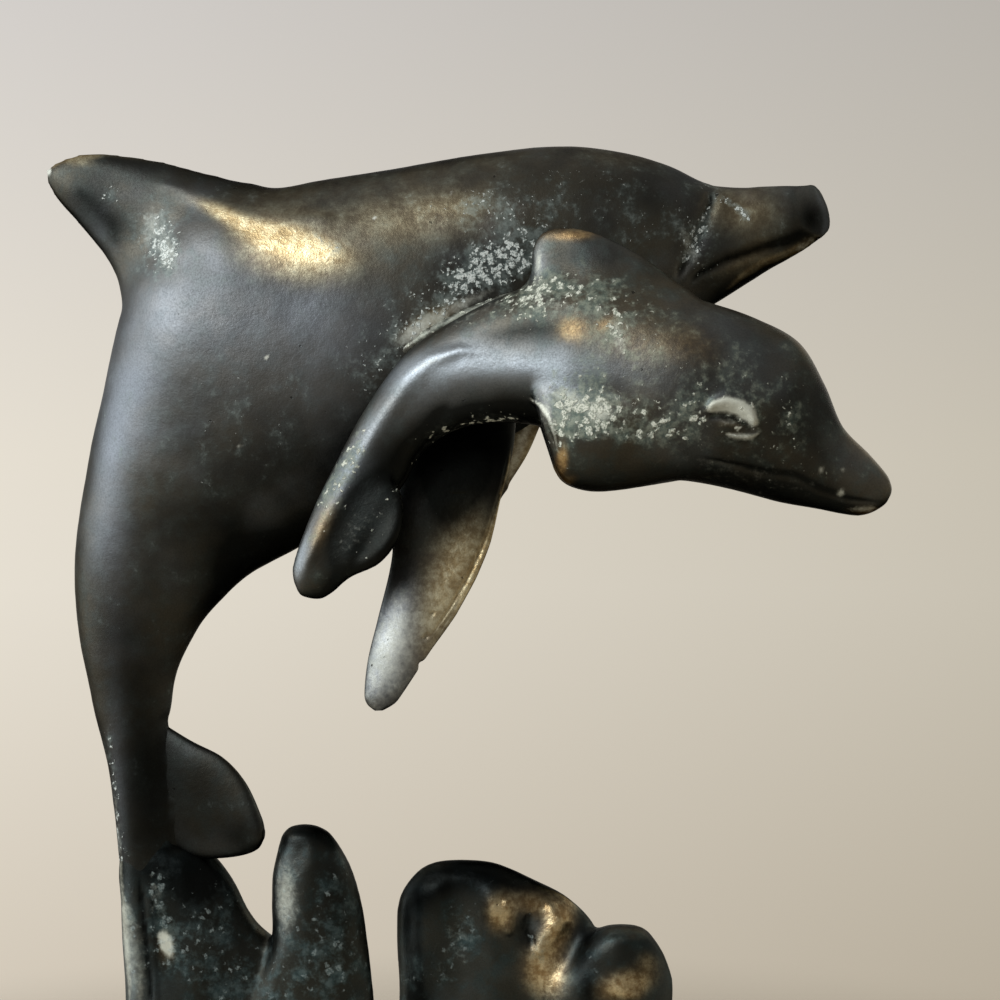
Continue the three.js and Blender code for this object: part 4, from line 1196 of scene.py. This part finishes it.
# Each piece with its table of wear and painted light, and its patina
def dressAll():
    finishes = {name: patina(name, look) for name, look in patinas.items()}
    pieces = [
        ("adultDolphin", "adult", "adultPatina"), ("adultFinNear", "adult", "adultPatina"),
        ("adultFinFar", "farFin", "adultPatina"), ("adultFluke1", "adult", "adultPatina"),
        ("adultFluke2", "adult", "adultPatina"), ("calfDolphin", "calf", "calfPatina"),
        ("brazeSeam", "seam", "calfPatina"), ("tailWave", "tailWave", "wavePatina"),
        ("sideWave", "sideWave", "wavePatina"), ("waveBase", "base", "wavePatina"),
    ]
    for number, (name, table, finish) in enumerate(pieces):
        piece = bpy.data.objects[name]
        dress(piece, wearAndPaintedLight[table], 101 + 20 * number)
        piece.data.materials.append(finishes[finish])


dressAll()
print("patina laid")

# Bare brass of the fastenings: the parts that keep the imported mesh
brass = {
    "colour": tone(150, 126, 78),
    "tarnish": tone(84, 74, 54),
    "roughness": 0.38,
}


def bareBrass():
    material, f = newMaterial("bareBrass")
    where = f.node("ShaderNodeTexCoord", output=3)
    stain = f.noise(where, 3, 4, 0.6)
    fine = f.noise(where, 0.6, 2)
    colour = f.blend(stain.step(0.35, 0.65), brass["colour"], brass["tarnish"])
    height = stain * 0.06 + fine * 0.02
    bump = f.node("ShaderNodeBump", {}, {"Strength": 1.0, "Distance": mm, "Height": height})
    rough = brass["roughness"] + (fine - 0.5) * 0.2
    shader = f.node("ShaderNodeBsdfPrincipled", {}, {
        "Base Color": colour, "Roughness": rough, "Metallic": 1.0, "Normal": bump,
    })
    f.node("ShaderNodeOutputMaterial", {}, {"Surface": shader})
    return material


fastenings = bareBrass()
for name in ("calf_dowel", "base_screw_1", "base_screw_2", "base_screw_3", "base_screw_4"):
    nodeData = bpy.data.objects[name].data
    nodeData.materials.clear()
    nodeData.materials.append(fastenings)

# The studio: a round pale floor that fades into a pale surround, two soft cool lamps at the left, and a
# warm one behind
studio = {
    "floorRadius": 420.0,
    "floorFade": (0.35, 0.85),  # shares of that radius
    "floorColour": tone(204, 194, 176),
    "floorFleck": tone(206, 196, 178),
    "left": tone(231, 224, 211),  # colours of the surround by direction
    "right": tone(198, 191, 176),
    "highTint": tone(232, 235, 246),
    "lowTint": tone(230, 225, 219),
    "behindViewer": 0.5,  # strength of the surround on the viewer's side
    "fill": 0.3,  # strength of the surround as a light
    "lamps": [  # place, size and aim in mm, colour, and strength in watts
        ((-660, -150, 330), (560, 640), (0, 0, 170), (0.87, 0.94, 1.0), 1.9),
        ((-400, -440, 540), (440, 440), (0, 0, 190), (0.94, 0.97, 1.0), 3.4),
        ((420, 420, 380), (360, 360), (10, 0, 180), (1.0, 0.93, 0.82), 0.8),
    ],
}


# Disc whose paper turns clear from the fade's first radius to its second
def makeFloor():
    angle = np.linspace(0, 2 * math.pi, 96, endpoint=False)
    edge = np.stack([np.cos(angle), np.sin(angle), 0 * angle], 1) * studio["floorRadius"]
    mesh = bpy.data.meshes.new("floor")
    mesh.from_pydata((edge * mm).tolist(), [], [list(range(len(edge)))])
    floor = bpy.data.objects.new("floor", mesh)
    bpy.context.scene.collection.objects.link(floor)
    material, f = newMaterial("floorPaper")
    where = f.node("ShaderNodeTexCoord", output=3)
    colour = f.blend(f.noise(where, 2.5, 3) * 0.1, studio["floorColour"], studio["floorFleck"])
    paper = f.node("ShaderNodeBsdfPrincipled", {}, {"Base Color": colour, "Roughness": 0.9})
    clear = f.node("ShaderNodeBsdfTransparent")
    far = f.node("ShaderNodeVectorMath", {"operation": "LENGTH"}, {0: where}, 1)
    fade = far.step(*(share * studio["floorRadius"] * mm for share in studio["floorFade"]))
    mixed = f.node("ShaderNodeMixShader", {}, {0: fade, 1: paper, 2: clear})
    f.node("ShaderNodeOutputMaterial", {}, {"Surface": mixed})
    mesh.materials.append(material)


# Surround: two colours from left to right, tinted high up and low down. It lights the scene weakly, and
# the camera, gloss and glass see it at full strength, or dimmer on the viewer's side
def makeSurround():
    world = bpy.data.worlds.new("surround")
    bpy.context.scene.world = world
    world.use_nodes = True
    f = Finish(world.node_tree)
    towards = f.node("ShaderNodeTexCoord", output=0)
    split = f.node("ShaderNodeSeparateXYZ", {}, {"Vector": towards})
    x, y, z = (Level(f, split.socket.node.outputs[k]) for k in range(3))
    colour = f.blend(x.step(-0.25, 0.25, "LINEAR"), studio["left"], studio["right"])
    colour = f.blend(z.step(0.02, 0.25, "LINEAR"), colour, studio["highTint"], "MULTIPLY")
    colour = f.blend(1 - z.step(-0.25, -0.04, "LINEAR"), colour, studio["lowTint"], "MULTIPLY")
    path = f.node("ShaderNodeLightPath")
    camera, glossy, through = (Level(f, path.socket.node.outputs[name])
                               for name in ("Is Camera Ray", "Is Glossy Ray", "Is Transmission Ray"))
    seen = camera + glossy + through
    front = 1 - (1 - y.step(-0.9, 0.1)) * (1 - studio["behindViewer"])
    strength = studio["fill"] + seen * (front - studio["fill"])
    background = f.node("ShaderNodeBackground", {}, {"Color": colour, "Strength": strength})
    f.node("ShaderNodeOutputWorld", {}, {"Surface": background})


# Flat lamps, each turned so that its back points away from what it aims at
def makeLamps():
    for number, (place, size, aim, colour, watts) in enumerate(studio["lamps"]):
        light = bpy.data.lights.new(f"lamp{number}", "AREA")
        light.shape = "RECTANGLE"
        light.size, light.size_y = size[0] * mm, size[1] * mm
        light.color = colour
        light.energy = watts
        lamp = bpy.data.objects.new(light.name, light)
        lamp.location = [value * mm for value in place]
        back = Vector(place) - Vector(aim)
        lamp.rotation_euler = back.to_track_quat("Z", "Y").to_euler()
        bpy.context.scene.collection.objects.link(lamp)


makeFloor()
makeSurround()
makeLamps()
bpy.context.scene.view_settings.view_transform = "Standard"
print("studio set")
